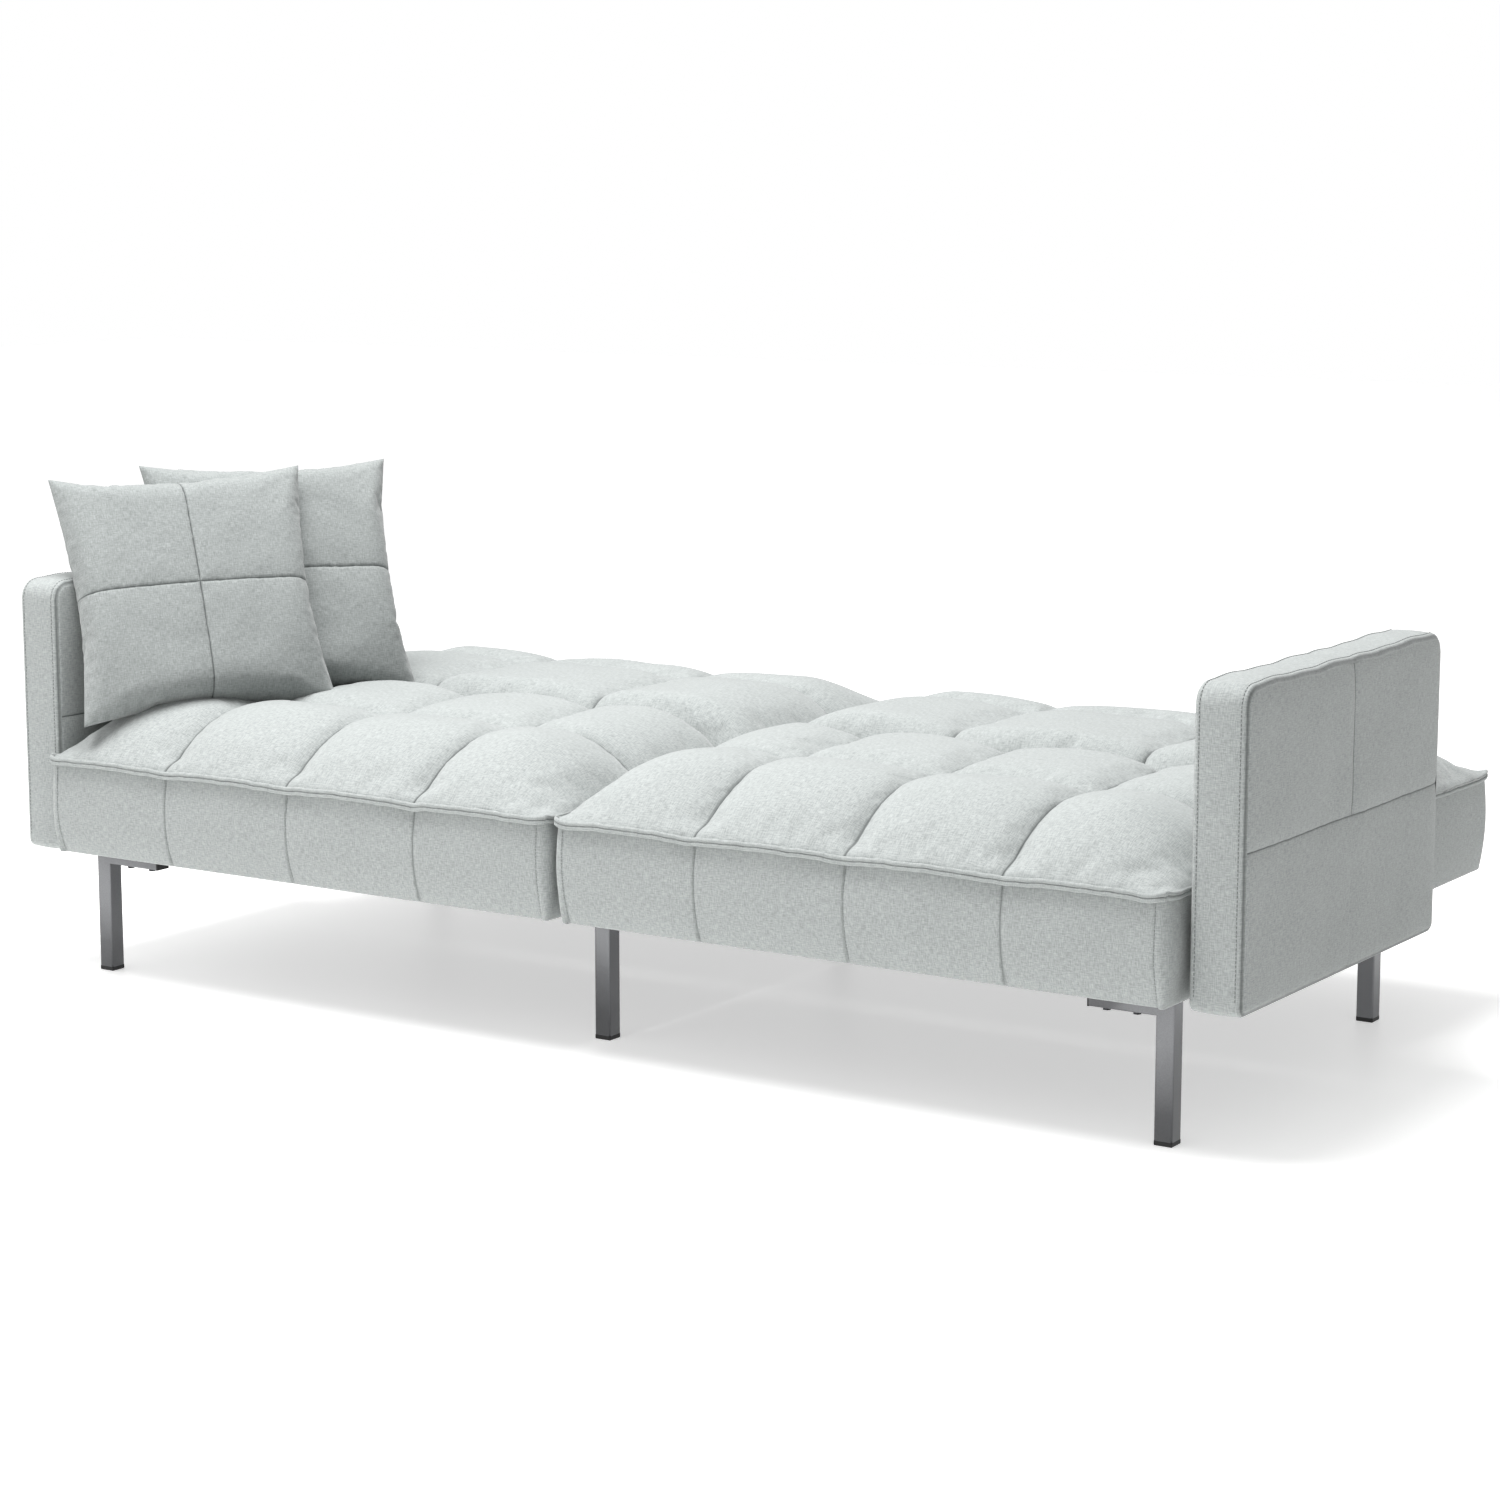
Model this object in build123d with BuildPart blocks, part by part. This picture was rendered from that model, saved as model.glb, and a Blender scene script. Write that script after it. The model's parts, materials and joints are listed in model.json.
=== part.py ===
"""Split-back click-clack futon sofa bed with two loose pillows, in millimetres.

Frame: +X runs along the bed's length to the sitter's left, +Y from the seat's front edge to the rear of the
unfolded back, +Z up. The origin is on the floor, below the middle of the unfolded bed.
Each back half turns about +X from flat (as modelled) to upright.
"""

from build123d import *

import os
from math import cos, radians, sin

# ---- driving dimensions ----------------------------------------------------------------------------------
length = 1960.0  # over the two arms
depth = 1015.0  # seat front to rear edge of the flat back
underside = 185.0  # floor to the underside of the seat
seat_top = 398.0
seat_depth = 473.0
half_gap = 3.0  # each cushion half stays this far from the middle plane
seat_front_round = 70.0
seat_rear_round = 30.0

arm_width = 78.0
arm_setback = 36.0  # arm front face behind the seat front face
arm_depth = 585.0
arm_top = 574.0
arm_bottom = 179.0
arm_gap = 4.0  # arm inner face to cushion end
arm_corner = 40.0

back_gap = 18.0  # seat rear face to the near face of the flat back
back_underside = 187.5
back_top = 405.0
back_near_round = 45.0
back_under_round = 60.0  # clears the rails as the back turns
back_rear_round = 60.0
pivot_behind_seat = 100.0
pivot_height = 326.0

wrap = 12.0  # foam and fabric round the timber frames
tuck = 6.0  # the border turns in this much further at its foot, front and rear
fit = 0.5  # clearance of a frame inside its cushion
lining = 1.5
timber_width = 30.0
timber_height = 40.0
wire = 3.2
spring_pitch = 120.0
spring_swing = 22.0  # half width of a zigzag spring
spring_step = 26.0

tube = 25.0
tube_wall = 1.5
rail_drop = 3.0  # rails sit this far below the leg arms' tops
leg_arm = 103.0  # leg centre to the end of its horizontal arm
corner_leg_x = 861.0
corner_leg_setback = 84.0
middle_leg_x = -9.0
middle_leg_setback = 143.0
rear_leg_x = 813.0
rear_middle_leg_x = -45.0
rear_leg_setback = 799.0
cap_height = 6.0
plug_length = 18.0
end_plug_length = 12.0
plug_play = 0.1
bumper_radius = 11.2
bumper_gap = 0.3
bumper_xs = (200.0, 600.0)  # either side of the middle
cap_round = 1.5
cap_chamfer = 0.8
end_plate = 2.0

plate = 3.0
outer_plate = 2.8
pin_radius = 6.0
pin_play = 0.08
pin_head = 6.0
pin_head_radius = 10.2
moving_boss_radius = 18.0
boss_radius = 22.0
plate_foot_radius = 13.0
middle_plate_foot = 12.0
middle_plate_reach = 40.0  # pivot to the feet of the middle plate, fore and aft
flange_thickness = 1.5
moving_foot_radius = 12.0
moving_foot_rise = 18.0  # lining to the middle of a moving arm's foot
pocket_margin = 3.0
bush_gap = 0.3
bolt_radius = 3.0
bolt_play = 0.3
bolt_head = 4.0
hex_share = 1.8  # corner radius of a bolt's head over the bolt's radius
screw_radius = 2.5
screw_head = 1.6

pillow_size = 360.0
pillow_half_thickness = 40.0
pillow_heading = radians(55.0)  # bottom edge, from +X towards +Y
pillow_lean = radians(26.0)
pillow_foot_z = 401.0
pillow_corner = 12.0
pillow_taper = 55.0
zip_width = 5.0
zip_length = 14.0
zip_thickness = 1.6
zip_standoff = 7.0
pillow_feet = {"front": (-722.0, -351.5), "rear": (-725.0, -178.5)}  # middle of each bottom edge

# ---- worked out ------------------------------------------------------------------------------------------
front = -depth / 2
seat_rear = front + seat_depth
back_near = seat_rear + back_gap
back_rear = depth / 2
pivot_y = seat_rear + pivot_behind_seat
arm_inner = length / 2 - arm_width
cushion_end = arm_inner - arm_gap
arm_front = front + arm_setback
arm_rear = arm_front + arm_depth
frame_in = half_gap + wrap + fit  # nearest the middle
frame_out = cushion_end - wrap - fit
half_tube = tube / 2
rail_top = underside - rail_drop
corner_leg_y = front + corner_leg_setback
middle_leg_y = front + middle_leg_setback
rear_leg_y = front + rear_leg_setback
sides = {"left": -1, "right": 1}
written = []


def save(piece, name):
    """Label one finished sub-part and write its STEP file."""
    piece.part.label = name
    export_step(piece.part, f"parts/{name}.step")
    written.append(name)


def block(low, high, mode=Mode.ADD):
    """Axis-aligned box between two corners, whatever order the corners' values are in."""
    low, high = [min(p) for p in zip(low, high)], [max(p) for p in zip(low, high)]
    size = [b - a for a, b in zip(low, high)]
    with Locations(tuple((a + b) / 2 for a, b in zip(low, high))):
        Box(*size, mode=mode)


def pipe(low, high, axis):
    """Square tube between two corners, open at both ends along its axis."""
    block(low, high)
    inset = [0 if i == axis else tube_wall for i in range(3)]
    inner = [a + d for a, d in zip(low, inset)], [b - d for b, d in zip(high, inset)]
    block(*inner, mode=Mode.SUBTRACT)


def rod_x(start, end, y, z, radius, mode=Mode.ADD):
    """Round bar along X from x = start to x = end."""
    with BuildSketch(Plane.YZ.offset(start)) as section:
        with Locations((y, z)):
            Circle(radius)
    extrude(section.sketch, amount=end - start, mode=mode)


# ---- legs, caps and rails --------------------------------------------------------------------------------
def bent_leg(name, x, y, towards):
    """Front leg: a post whose mitred top turns into a short arm under the seat."""
    end = x + towards * leg_arm
    w, t = half_tube, tube_wall
    with BuildPart() as leg:
        block((x - w, y - w, cap_height), (x + w, y + w, underside))
        block((x - towards * w, y - w, underside - tube), (end, y + w, underside))
        block((x - w + t, y - w + t, cap_height), (x + w - t, y + w - t, underside - t), Mode.SUBTRACT)
        inner_x = x - towards * (w - t)
        block((inner_x, y - w + t, underside - tube + t), (end, y + w - t, underside - t), Mode.SUBTRACT)
        for bolt_x in arm_bolt_xs(x, towards):
            with Locations((bolt_x, y, underside - w)):
                Cylinder(bolt_radius + bolt_play, 2 * tube, mode=Mode.SUBTRACT)
    save(leg, name)


def arm_bolt_xs(x, towards):
    """Bolt places along a front leg's arm."""
    return [x + towards * share * leg_arm for share in (0.42, 0.82)]


def straight_leg(name, x, y, top):
    """Rear leg: a plain post below the rear tube."""
    with BuildPart() as leg:
        pipe((x - half_tube, y - half_tube, cap_height), (x + half_tube, y + half_tube, top), 2)
    save(leg, name)


def foot_cap(name, x, y):
    """Moulded glide: a plug inside the tube and a flange with a rounded tread."""
    plug = tube - 2 * (tube_wall + plug_play)
    with BuildPart() as cap:
        with BuildSketch():
            with Locations((x, y)):
                Rectangle(tube, tube)
        extrude(amount=cap_height)
        fillet(cap.edges().filter_by(Axis.Z), cap_round)
        chamfer(cap.faces().sort_by(Axis.Z)[0].edges(), cap_chamfer)
        with BuildSketch(Plane.XY.offset(cap_height)):
            with Locations((x, y)):
                Rectangle(plug, plug)
        extrude(amount=plug_length)
    save(cap, name)


front_legs = {
    "front_left": (-corner_leg_x, corner_leg_y, 1),
    "front_middle": (middle_leg_x, middle_leg_y, 1),
    "front_right": (corner_leg_x, corner_leg_y, -1),
}
rear_legs = {
    "rear_left": (-rear_leg_x, rail_top),
    "rear_middle": (rear_middle_leg_x, rail_top - tube),
    "rear_right": (rear_leg_x, rail_top),
}


def make_legs():
    """Six legs with a cap under each."""
    for place, (x, y, towards) in front_legs.items():
        bent_leg(f"leg_{place}", x, y, towards)
        foot_cap(f"foot_cap_{place}", x, y)
    for place, (x, top) in rear_legs.items():
        straight_leg(f"leg_{place}", x, rear_leg_y, top)
        foot_cap(f"foot_cap_{place}", x, rear_leg_y)


def make_leg_end_caps():
    """Plugs that close the open ends of the front legs' arms."""
    plug = tube - 2 * (tube_wall + plug_play)
    z = underside - half_tube
    with BuildPart() as caps:
        for x, y, towards in front_legs.values():
            end = x + towards * leg_arm
            with Locations((end + towards * end_plate / 2, y, z)):
                Box(end_plate, tube, tube)
            with Locations((end - towards * end_plug_length / 2, y, z)):
                Box(end_plug_length, plug, plug)
    save(caps, "leg_end_caps")


def make_leg_bolts():
    """Hexagon bolts up through each front leg's arm into the seat frames."""
    reach = tube + timber_height * 0.6 + lining
    with BuildPart() as bolts:
        for x, y, towards in front_legs.values():
            for bolt_x in arm_bolt_xs(x, towards):
                with BuildSketch(Plane.XY.offset(underside - tube - bolt_head)):
                    with Locations((bolt_x, y)):
                        RegularPolygon(bolt_radius * hex_share, 6)
                extrude(amount=bolt_head)
                with BuildSketch(Plane.XY.offset(underside - tube)):
                    with Locations((bolt_x, y)):
                        Circle(bolt_radius)
                extrude(amount=reach)
    save(bolts, "leg_bolts")


def make_rails():
    """Three rails front to rear and one tube across the rear legs."""
    low, high = rail_top - tube, rail_top
    for side, sign in sides.items():
        x = sign * rear_leg_x
        with BuildPart() as rail:
            start, end = corner_leg_y + half_tube, rear_leg_y - half_tube
            pipe((x - half_tube, start, low), (x + half_tube, end, high), 1)
        save(rail, f"rail_{side}")
    x = middle_leg_x
    with BuildPart() as rail:
        start, end = middle_leg_y + half_tube, rear_leg_y - half_tube
        pipe((x - half_tube, start, low), (x + half_tube, end, high), 1)
    save(rail, "rail_middle")
    with BuildPart() as cross:
        reach = rear_leg_x - half_tube
        pipe((-reach, rear_leg_y - half_tube, low), (reach, rear_leg_y + half_tube, high), 0)
    save(cross, "rear_cross_tube")


def make_bumpers():
    """Rubber buttons on the rear tube that the flat back halves lie on."""
    with BuildPart() as bumpers:
        with BuildSketch(Plane.XY.offset(rail_top)):
            with Locations([(sign * x, rear_leg_y) for sign in (-1, 1) for x in bumper_xs]):
                Circle(bumper_radius)
        extrude(amount=back_underside - bumper_gap - rail_top)
    save(bumpers, "back_bumpers")


# ---- upholstered boxes -----------------------------------------------------------------------------------
def half_range(sign):
    """X of a half's two ends, and of its frame's two ends, the one nearer the middle first."""
    return (sign * half_gap, sign * cushion_end), (sign * frame_in, sign * frame_out)


def make_frame(name, sign, y0, y1, z0, holes):
    """Timber ladder frame: two long rails, two end rails and a middle stretcher, as separate lengths."""
    _, (xa, xb) = half_range(sign)
    w, z1 = timber_width, z0 + timber_height
    middle = (xa + xb) / 2
    with BuildPart() as frame:
        block((xa, y0, z0), (xb, y0 + w, z1))
        block((xa, y1 - w, z0), (xb, y1, z1))
        for x0, x1 in ((xa, xa + sign * w), (middle - w / 2, middle + w / 2), (xb - sign * w, xb)):
            block((x0, y0 + w, z0), (x1, y1 - w, z1))
        holes()
    save(frame, name)


def make_springs(name, sign, y0, y1, z):
    """Sinuous springs: flat zigzag wires with rounded turns, lying across the frame's long rails."""
    _, (xa, xb) = half_range(sign)
    count = int((abs(xb - xa) - timber_width) // spring_pitch)
    steps = int((y1 - y0 - spring_step) // spring_step)
    first_y = (y0 + y1 - steps * spring_step) / 2
    middle = (xa + xb) / 2
    with BuildPart() as springs:
        for n in range(count):
            x = middle + (n - (count - 1) / 2) * spring_pitch
            points = [(x, first_y - spring_step / 3)]
            for k in range(steps + 1):
                swing = spring_swing if (k // 2) % 2 == 0 else -spring_swing
                points.append((x + swing, first_y + (k - k % 2) * spring_step + (k % 2) * spring_step))
            points.append((x, first_y + steps * spring_step + spring_step / 3))
            with BuildSketch(Plane.XY.offset(z)):
                with BuildLine():
                    FilletPolyline(*points, radius=spring_step * 0.3)
                trace(line_width=wire)
            extrude(amount=wire)
    save(springs, name)


def make_lining(name, sign, y0, y1, z, holes=None):
    """Thin black cloth stapled over the open underside, inside the cushion's border."""
    (xa, xb), _ = half_range(sign)
    with BuildPart() as cloth:
        block((xa + sign * wrap, y0 + wrap, z), (xb - sign * wrap, y1 - wrap, z + lining))
        if holes:
            holes()
    save(cloth, name)


def cushion_hollow(sign, y0, y1, z, spring_room):
    """Cut the space for lining, frame and springs out of a cushion from below."""
    (xa, xb), _ = half_range(sign)
    top = z + lining + timber_height + spring_room
    block((xa + sign * wrap, y0 + wrap, z), (xb - sign * wrap, y1 - wrap, top), Mode.SUBTRACT)


def edges_at(part, axis, y, z):
    """Edges along an axis whose middles lie at y and z."""
    found = part.edges().filter_by(axis)
    return [e for e in found if abs(e.center().Y - y) < 0.01 and abs(e.center().Z - z) < 0.01]


side_bolt_ys = [front + share * seat_depth for share in (0.28, 0.6, 0.86)]
side_bolt_z = underside + lining + timber_height / 2


def side_bolt_holes(sign):
    """Holes through a seat half's end for the bolts that hold the arm."""
    start = sign * (frame_out - timber_width - 2)
    for y in side_bolt_ys:
        rod_x(start, sign * (arm_inner + wrap), y, side_bolt_z, bolt_radius + bolt_play, Mode.SUBTRACT)


def leg_bolt_holes():
    """Holes up into the seat frames and linings for the leg bolts."""
    for x, y, towards in front_legs.values():
        with Locations([(bolt_x, y, underside) for bolt_x in arm_bolt_xs(x, towards)]):
            Cylinder(bolt_radius + bolt_play, 2 * timber_height, mode=Mode.SUBTRACT)


def make_seat_half(side, sign):
    """One upholstered seat box: frame, springs, foam-and-cover block and lining."""
    y0, y1, z0 = front, seat_rear, underside
    hem = y0 + tuck
    frame_y0, frame_y1, frame_z = hem + wrap + fit, y1 - wrap - fit, z0 + lining

    def frame_holes():
        leg_bolt_holes()
        side_bolt_holes(sign)

    make_frame(f"seat_frame_{side}", sign, frame_y0, frame_y1, frame_z, frame_holes)
    make_springs(f"seat_springs_{side}", sign, frame_y0, frame_y1, frame_z + timber_height)
    (xa, xb), _ = half_range(sign)
    with BuildPart() as cushion:
        block((xa, y0, z0), (xb, y1, seat_top))
        fillet(edges_at(cushion, Axis.X, y0, seat_top), seat_front_round)
        fillet(edges_at(cushion, Axis.X, y1, seat_top), seat_rear_round)
        cushion_hollow(sign, hem, y1, z0, 2 * wire)
        side_bolt_holes(sign)
    save(cushion, f"seat_cushion_{side}")
    make_lining(f"seat_lining_{side}", sign, hem, y1, z0, leg_bolt_holes)


# ---- arms ------------------------------------------------------------------------------------------------
def make_arm(side, sign):
    """Upholstered arm panel: timber frame, padded cover and lining."""
    x0, x1 = sign * arm_inner, sign * (arm_inner + arm_width)
    cavity_x0, cavity_x1 = x0 + sign * wrap, x1 - sign * wrap
    y0, y1, top = arm_front + wrap, arm_rear - wrap, arm_top - 2 * wrap
    with BuildPart() as pad:
        with BuildSketch(Plane.YZ.offset(x0)) as outline:
            with Locations(((arm_front + arm_rear) / 2, (arm_bottom + arm_top) / 2)):
                Rectangle(arm_depth, arm_top - arm_bottom)
            fillet(outline.vertices().group_by(Axis.Y)[-1], arm_corner)
        extrude(amount=x1 - x0)
        block((cavity_x0, y0, arm_bottom), (cavity_x1, y1, top), Mode.SUBTRACT)
        side_bolt_holes(sign)
        plate_screw_holes(sign, screw_radius + bolt_play)
    save(pad, f"arm_pad_{side}")
    xa, xb = cavity_x0 + sign * fit, cavity_x1 - sign * fit
    fy0, fy1, fz0, fz1 = y0 + fit, y1 - fit, arm_bottom + lining + fit, top - fit
    w, deep = timber_width, 2 * timber_width
    with BuildPart() as frame:
        block((xa, fy0, fz0), (xb, fy1, fz0 + timber_height + 8))
        block((xa, fy0, fz1 - w), (xb, fy1, fz1))
        block((xa, fy0, fz0 + timber_height + 8), (xb, fy0 + w, fz1 - w))
        block((xa, fy1 - deep, fz0 + timber_height + 8), (xb, fy1, fz1 - w))
        for y in side_bolt_ys:
            rod_x(sign * arm_inner, xb, y, side_bolt_z, bolt_radius + bolt_play, Mode.SUBTRACT)
        plate_screw_holes(sign, screw_radius + bolt_play)
    save(frame, f"arm_frame_{side}")
    with BuildPart() as cloth:
        block((cavity_x0, y0, arm_bottom), (cavity_x1, y1, arm_bottom + lining))
    save(cloth, f"arm_lining_{side}")


def make_arm_bolts():
    """Bolts from inside each seat frame's end rail into the arm frame."""
    with BuildPart() as bolts:
        for sign in sides.values():
            head = sign * (frame_out - timber_width)
            for y in side_bolt_ys:
                with BuildSketch(Plane.YZ.offset(head - sign * bolt_head)):
                    with Locations((y, side_bolt_z)):
                        RegularPolygon(bolt_radius * hex_share, 6)
                extrude(amount=sign * bolt_head)
                rod_x(head, sign * (arm_inner + arm_width / 2), y, side_bolt_z, bolt_radius)
    save(bolts, "arm_bolts")


# ---- click-clack hinges ----------------------------------------------------------------------------------
plate_screws = [(pivot_y - 105.0, 205.0), (pivot_y + 4.0, 205.0), (pivot_y + 4.0, 262.0)]
moving_foot_ys = (pivot_y - 10.0, pivot_y + 32.0)
arm_plate_screws = [(y, 210.0) for y in (moving_foot_ys[0], sum(moving_foot_ys) / 2, moving_foot_ys[1])]


def plate_screw_holes(sign, radius):
    """Holes in an arm for the screws of its fixed hinge plate."""
    start, end = sign * (arm_inner - outer_plate - 1), sign * (arm_inner + arm_width / 2)
    for y, z in plate_screws:
        rod_x(start, end, y, z, radius, Mode.SUBTRACT)


def hull_plate(x, thickness, circles, mode=Mode.ADD):
    """Flat plate across X whose outline is the hull of the given circles."""
    with BuildSketch(Plane.YZ.offset(x)) as outline:
        for y, z, radius in circles:
            with Locations((y, z)):
                Circle(radius)
        make_hull()
    extrude(outline.sketch, amount=thickness, mode=mode)


def moving_outline(grow):
    """Circles whose hull is the moving hinge arm, from its boss down to the back frame's end rail."""
    foot_z = back_underside + lining + moving_foot_rise
    feet = [(y, foot_z, moving_foot_radius + grow) for y in moving_foot_ys]
    return [(pivot_y, pivot_height, moving_boss_radius + grow), *feet]


def make_fixed_plates():
    """Outer fixed plates on the arms, and the middle one standing on the middle rail between the halves."""
    for side, sign in sides.items():
        x = sign * (arm_inner - outer_plate)
        with BuildPart() as bracket:
            feet = [(y, z, plate_foot_radius) for y, z in plate_screws[:2]]
            hull_plate(x, sign * outer_plate, [(pivot_y, pivot_height, boss_radius), *feet])
            rod_x(x, sign * arm_inner, pivot_y, pivot_height, pin_radius, Mode.SUBTRACT)
            for y, z in plate_screws:
                rod_x(x, sign * arm_inner, y, z, screw_radius + bolt_play, Mode.SUBTRACT)
                rod_x(x, x + sign * screw_head, y, z, screw_radius * 2 + bolt_play, Mode.SUBTRACT)
        save(bracket, f"hinge_plate_{side}")
    with BuildPart() as bracket:
        with BuildSketch(Plane.YZ.offset(-plate / 2)):
            with Locations((pivot_y, pivot_height)):
                Circle(boss_radius)
            for y in (pivot_y - middle_plate_reach, pivot_y + middle_plate_reach):
                with Locations((y, rail_top + middle_plate_foot / 2)):
                    Rectangle(middle_plate_foot, middle_plate_foot)
            make_hull()
        extrude(amount=plate)
        flange_x = middle_leg_x - half_tube + tube_wall
        reach, flange_top = middle_plate_reach + middle_plate_foot / 2, rail_top + flange_thickness
        block((flange_x, pivot_y - reach, rail_top), (plate / 2, pivot_y + reach, flange_top))
        rod_x(-plate, plate, pivot_y, pivot_height, pin_radius, Mode.SUBTRACT)
    save(bracket, "hinge_plate_middle")


def make_plate_screws():
    """Countersunk screws from the outer fixed plates into the arm frames."""
    with BuildPart() as screws:
        for sign in sides.values():
            x = sign * (arm_inner - outer_plate)
            for y, z in plate_screws:
                rod_x(x, x + sign * screw_head, y, z, screw_radius * 2)
                rod_x(x + sign * screw_head, sign * (arm_inner + arm_width * 0.45), y, z, screw_radius)
    save(screws, "hinge_plate_screws")


def make_pins():
    """Headed pivot pins fixed in the plates, with a spacer bush beside each moving arm."""
    head_start = frame_out - fit
    for side, sign in sides.items():
        with BuildPart() as pin:
            rod_x(sign * (head_start - 1), sign * arm_inner, pivot_y, pivot_height, pin_radius)
            rod_x(sign * (head_start - pin_head), sign * head_start, pivot_y, pivot_height, pin_head_radius)
        save(pin, f"hinge_pin_{side}")
    head_start = frame_in + fit
    with BuildPart() as pin:
        rod_x(-head_start - 1, head_start + 1, pivot_y, pivot_height, pin_radius)
        for sign in (-1, 1):
            rod_x(sign * head_start, sign * (head_start + pin_head), pivot_y, pivot_height, pin_head_radius)
    save(pin, "hinge_pin_middle")
    with BuildPart() as bushes:
        for sign in (-1, 1):
            outer = (sign * (frame_out + plate + bush_gap), sign * (arm_inner - outer_plate))
            inner = (sign * plate / 2, sign * (frame_in - plate - bush_gap))
            for start, end in (outer, inner):
                rod_x(start, end, pivot_y, pivot_height, pin_head_radius)
                rod_x(start, end, pivot_y, pivot_height, pin_radius, Mode.SUBTRACT)
    save(bushes, "hinge_bushes")


def moving_plate_starts(sign):
    """X at which the two moving arms of a back half lie on its frame, and the way they grow from it."""
    return {"outer": (sign * frame_out, sign), "inner": (sign * frame_in, -sign)}


def make_moving_arms(side, sign):
    """Two hinge arms screwed to a back frame's end rails, turning on the pivot pins."""
    for place, (x, way) in moving_plate_starts(sign).items():
        with BuildPart() as arm:
            hull_plate(x, way * plate, moving_outline(0))
            rod_x(x, x + way * plate, pivot_y, pivot_height, pin_radius + pin_play, Mode.SUBTRACT)
            for y, z in arm_plate_screws:
                rod_x(x, x + way * plate, y, z, screw_radius + bolt_play, Mode.SUBTRACT)
        save(arm, f"hinge_arm_{side}_{place}")
    with BuildPart() as screws:
        for x, way in moving_plate_starts(sign).values():
            for y, z in arm_plate_screws:
                rod_x(x - way * (timber_width - 5), x + way * plate, y, z, screw_radius)
                rod_x(x + way * plate, x + way * (plate + 2.5), y, z, screw_radius * 2)
    save(screws, f"hinge_arm_screws_{side}")


def back_pockets(sign):
    """Slots in a back half's ends for its hinge arms, and room behind them for the pins' heads."""
    (xa, xb), _ = half_range(sign)
    for start, end, way in ((xa, sign * frame_in, 1), (xb, sign * frame_out, -1)):
        hull_plate(start, end - start, moving_outline(pocket_margin), Mode.SUBTRACT)
        rod_x(start, end + way * sign * 10, pivot_y, pivot_height, pin_head_radius + 2, Mode.SUBTRACT)


def frame_screw_holes(sign):
    """Pilot holes in a back frame's end rails."""
    for x, way in moving_plate_starts(sign).values():
        for y, z in arm_plate_screws:
            rod_x(x - way * timber_width, x, y, z, screw_radius + bolt_play / 3, Mode.SUBTRACT)


def make_back_half(side, sign):
    """One upholstered back box, hinged at both ends: frame, springs, block, lining and hinge arms."""
    y0, y1, z0 = back_near, back_rear, back_underside
    hem = y1 - tuck
    hollow_y0 = y0 + back_under_round - wrap - fit
    frame_y0, frame_y1, frame_z = y0 + back_under_round, hem - wrap - fit, z0 + lining

    def frame_holes():
        frame_screw_holes(sign)

    make_frame(f"back_frame_{side}", sign, frame_y0, frame_y1, frame_z, frame_holes)
    make_springs(f"back_springs_{side}", sign, frame_y0, frame_y1, frame_z + timber_height)
    (xa, xb), _ = half_range(sign)
    with BuildPart() as cushion:
        block((xa, y0, z0), (xb, y1, back_top))
        fillet(edges_at(cushion, Axis.X, y0, back_top), back_near_round)
        fillet(edges_at(cushion, Axis.X, y0, z0), back_under_round)
        fillet(edges_at(cushion, Axis.X, y1, back_top), back_rear_round)
        cushion_hollow(sign, hollow_y0, hem, z0, 2 * wire)
        back_pockets(sign)
    save(cushion, f"back_cushion_{side}")
    make_lining(f"back_lining_{side}", sign, hollow_y0, hem, z0)
    make_moving_arms(side, sign)


# ---- pillows ---------------------------------------------------------------------------------------------
def pillow_plane(foot):
    """Plane of a leaning pillow: local X along its bottom edge, local Y up it, local Z out of its face."""
    edge = Vector(cos(pillow_heading), sin(pillow_heading), 0)
    facing = Vector(sin(pillow_heading), -cos(pillow_heading), 0)
    normal = facing * cos(pillow_lean) + Vector(0, 0, 1) * sin(pillow_lean)
    return Plane(origin=(*foot, pillow_foot_z), x_dir=edge, z_dir=normal)


def make_pillow(name, foot):
    """Square stuffed pillow, thick in the middle and thin at its seam, with a zip pull at the bottom seam."""
    plane = pillow_plane(foot)
    middle = (0, pillow_size / 2)
    with BuildPart() as pillow:
        for way in (1, -1):
            with BuildSketch(plane):
                with Locations(middle):
                    RectangleRounded(pillow_size, pillow_size, pillow_corner)
            extrude(amount=way * pillow_half_thickness, taper=pillow_taper)
    save(pillow, f"pillow_{name}")
    with BuildPart() as pull:
        with BuildSketch(plane.offset(zip_standoff)):
            with Locations((-pillow_size * 0.36, zip_length * 0.15)):
                RectangleRounded(zip_width, zip_length, zip_width * 0.4)
        extrude(amount=zip_thickness)
    save(pull, f"zip_pull_{name}")


# ---- the whole -------------------------------------------------------------------------------------------
def main():
    """Write every sub-part."""
    os.makedirs("parts", exist_ok=True)
    make_legs()
    make_leg_end_caps()
    make_leg_bolts()
    make_rails()
    make_bumpers()
    make_arm_bolts()
    make_fixed_plates()
    make_plate_screws()
    make_pins()
    for side, sign in sides.items():
        make_seat_half(side, sign)
        make_arm(side, sign)
        make_back_half(side, sign)
    for name, foot in pillow_feet.items():
        make_pillow(name, foot)
    print(len(written), "sub-parts written")


main()
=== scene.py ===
"""Looks of a tufted click-clack futon sofa bed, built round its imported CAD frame.

Every piece is a surface worked out with numpy in the frame's own metres: +X along the bed, +Y from the seat's
front edge to the rear of the flat back, +Z up.
"""

from __future__ import annotations

import json
import logging
import math
from dataclasses import dataclass, field
from enum import Enum

import bmesh
import bpy
import numpy as np
from mathutils import Matrix, Vector


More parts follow.
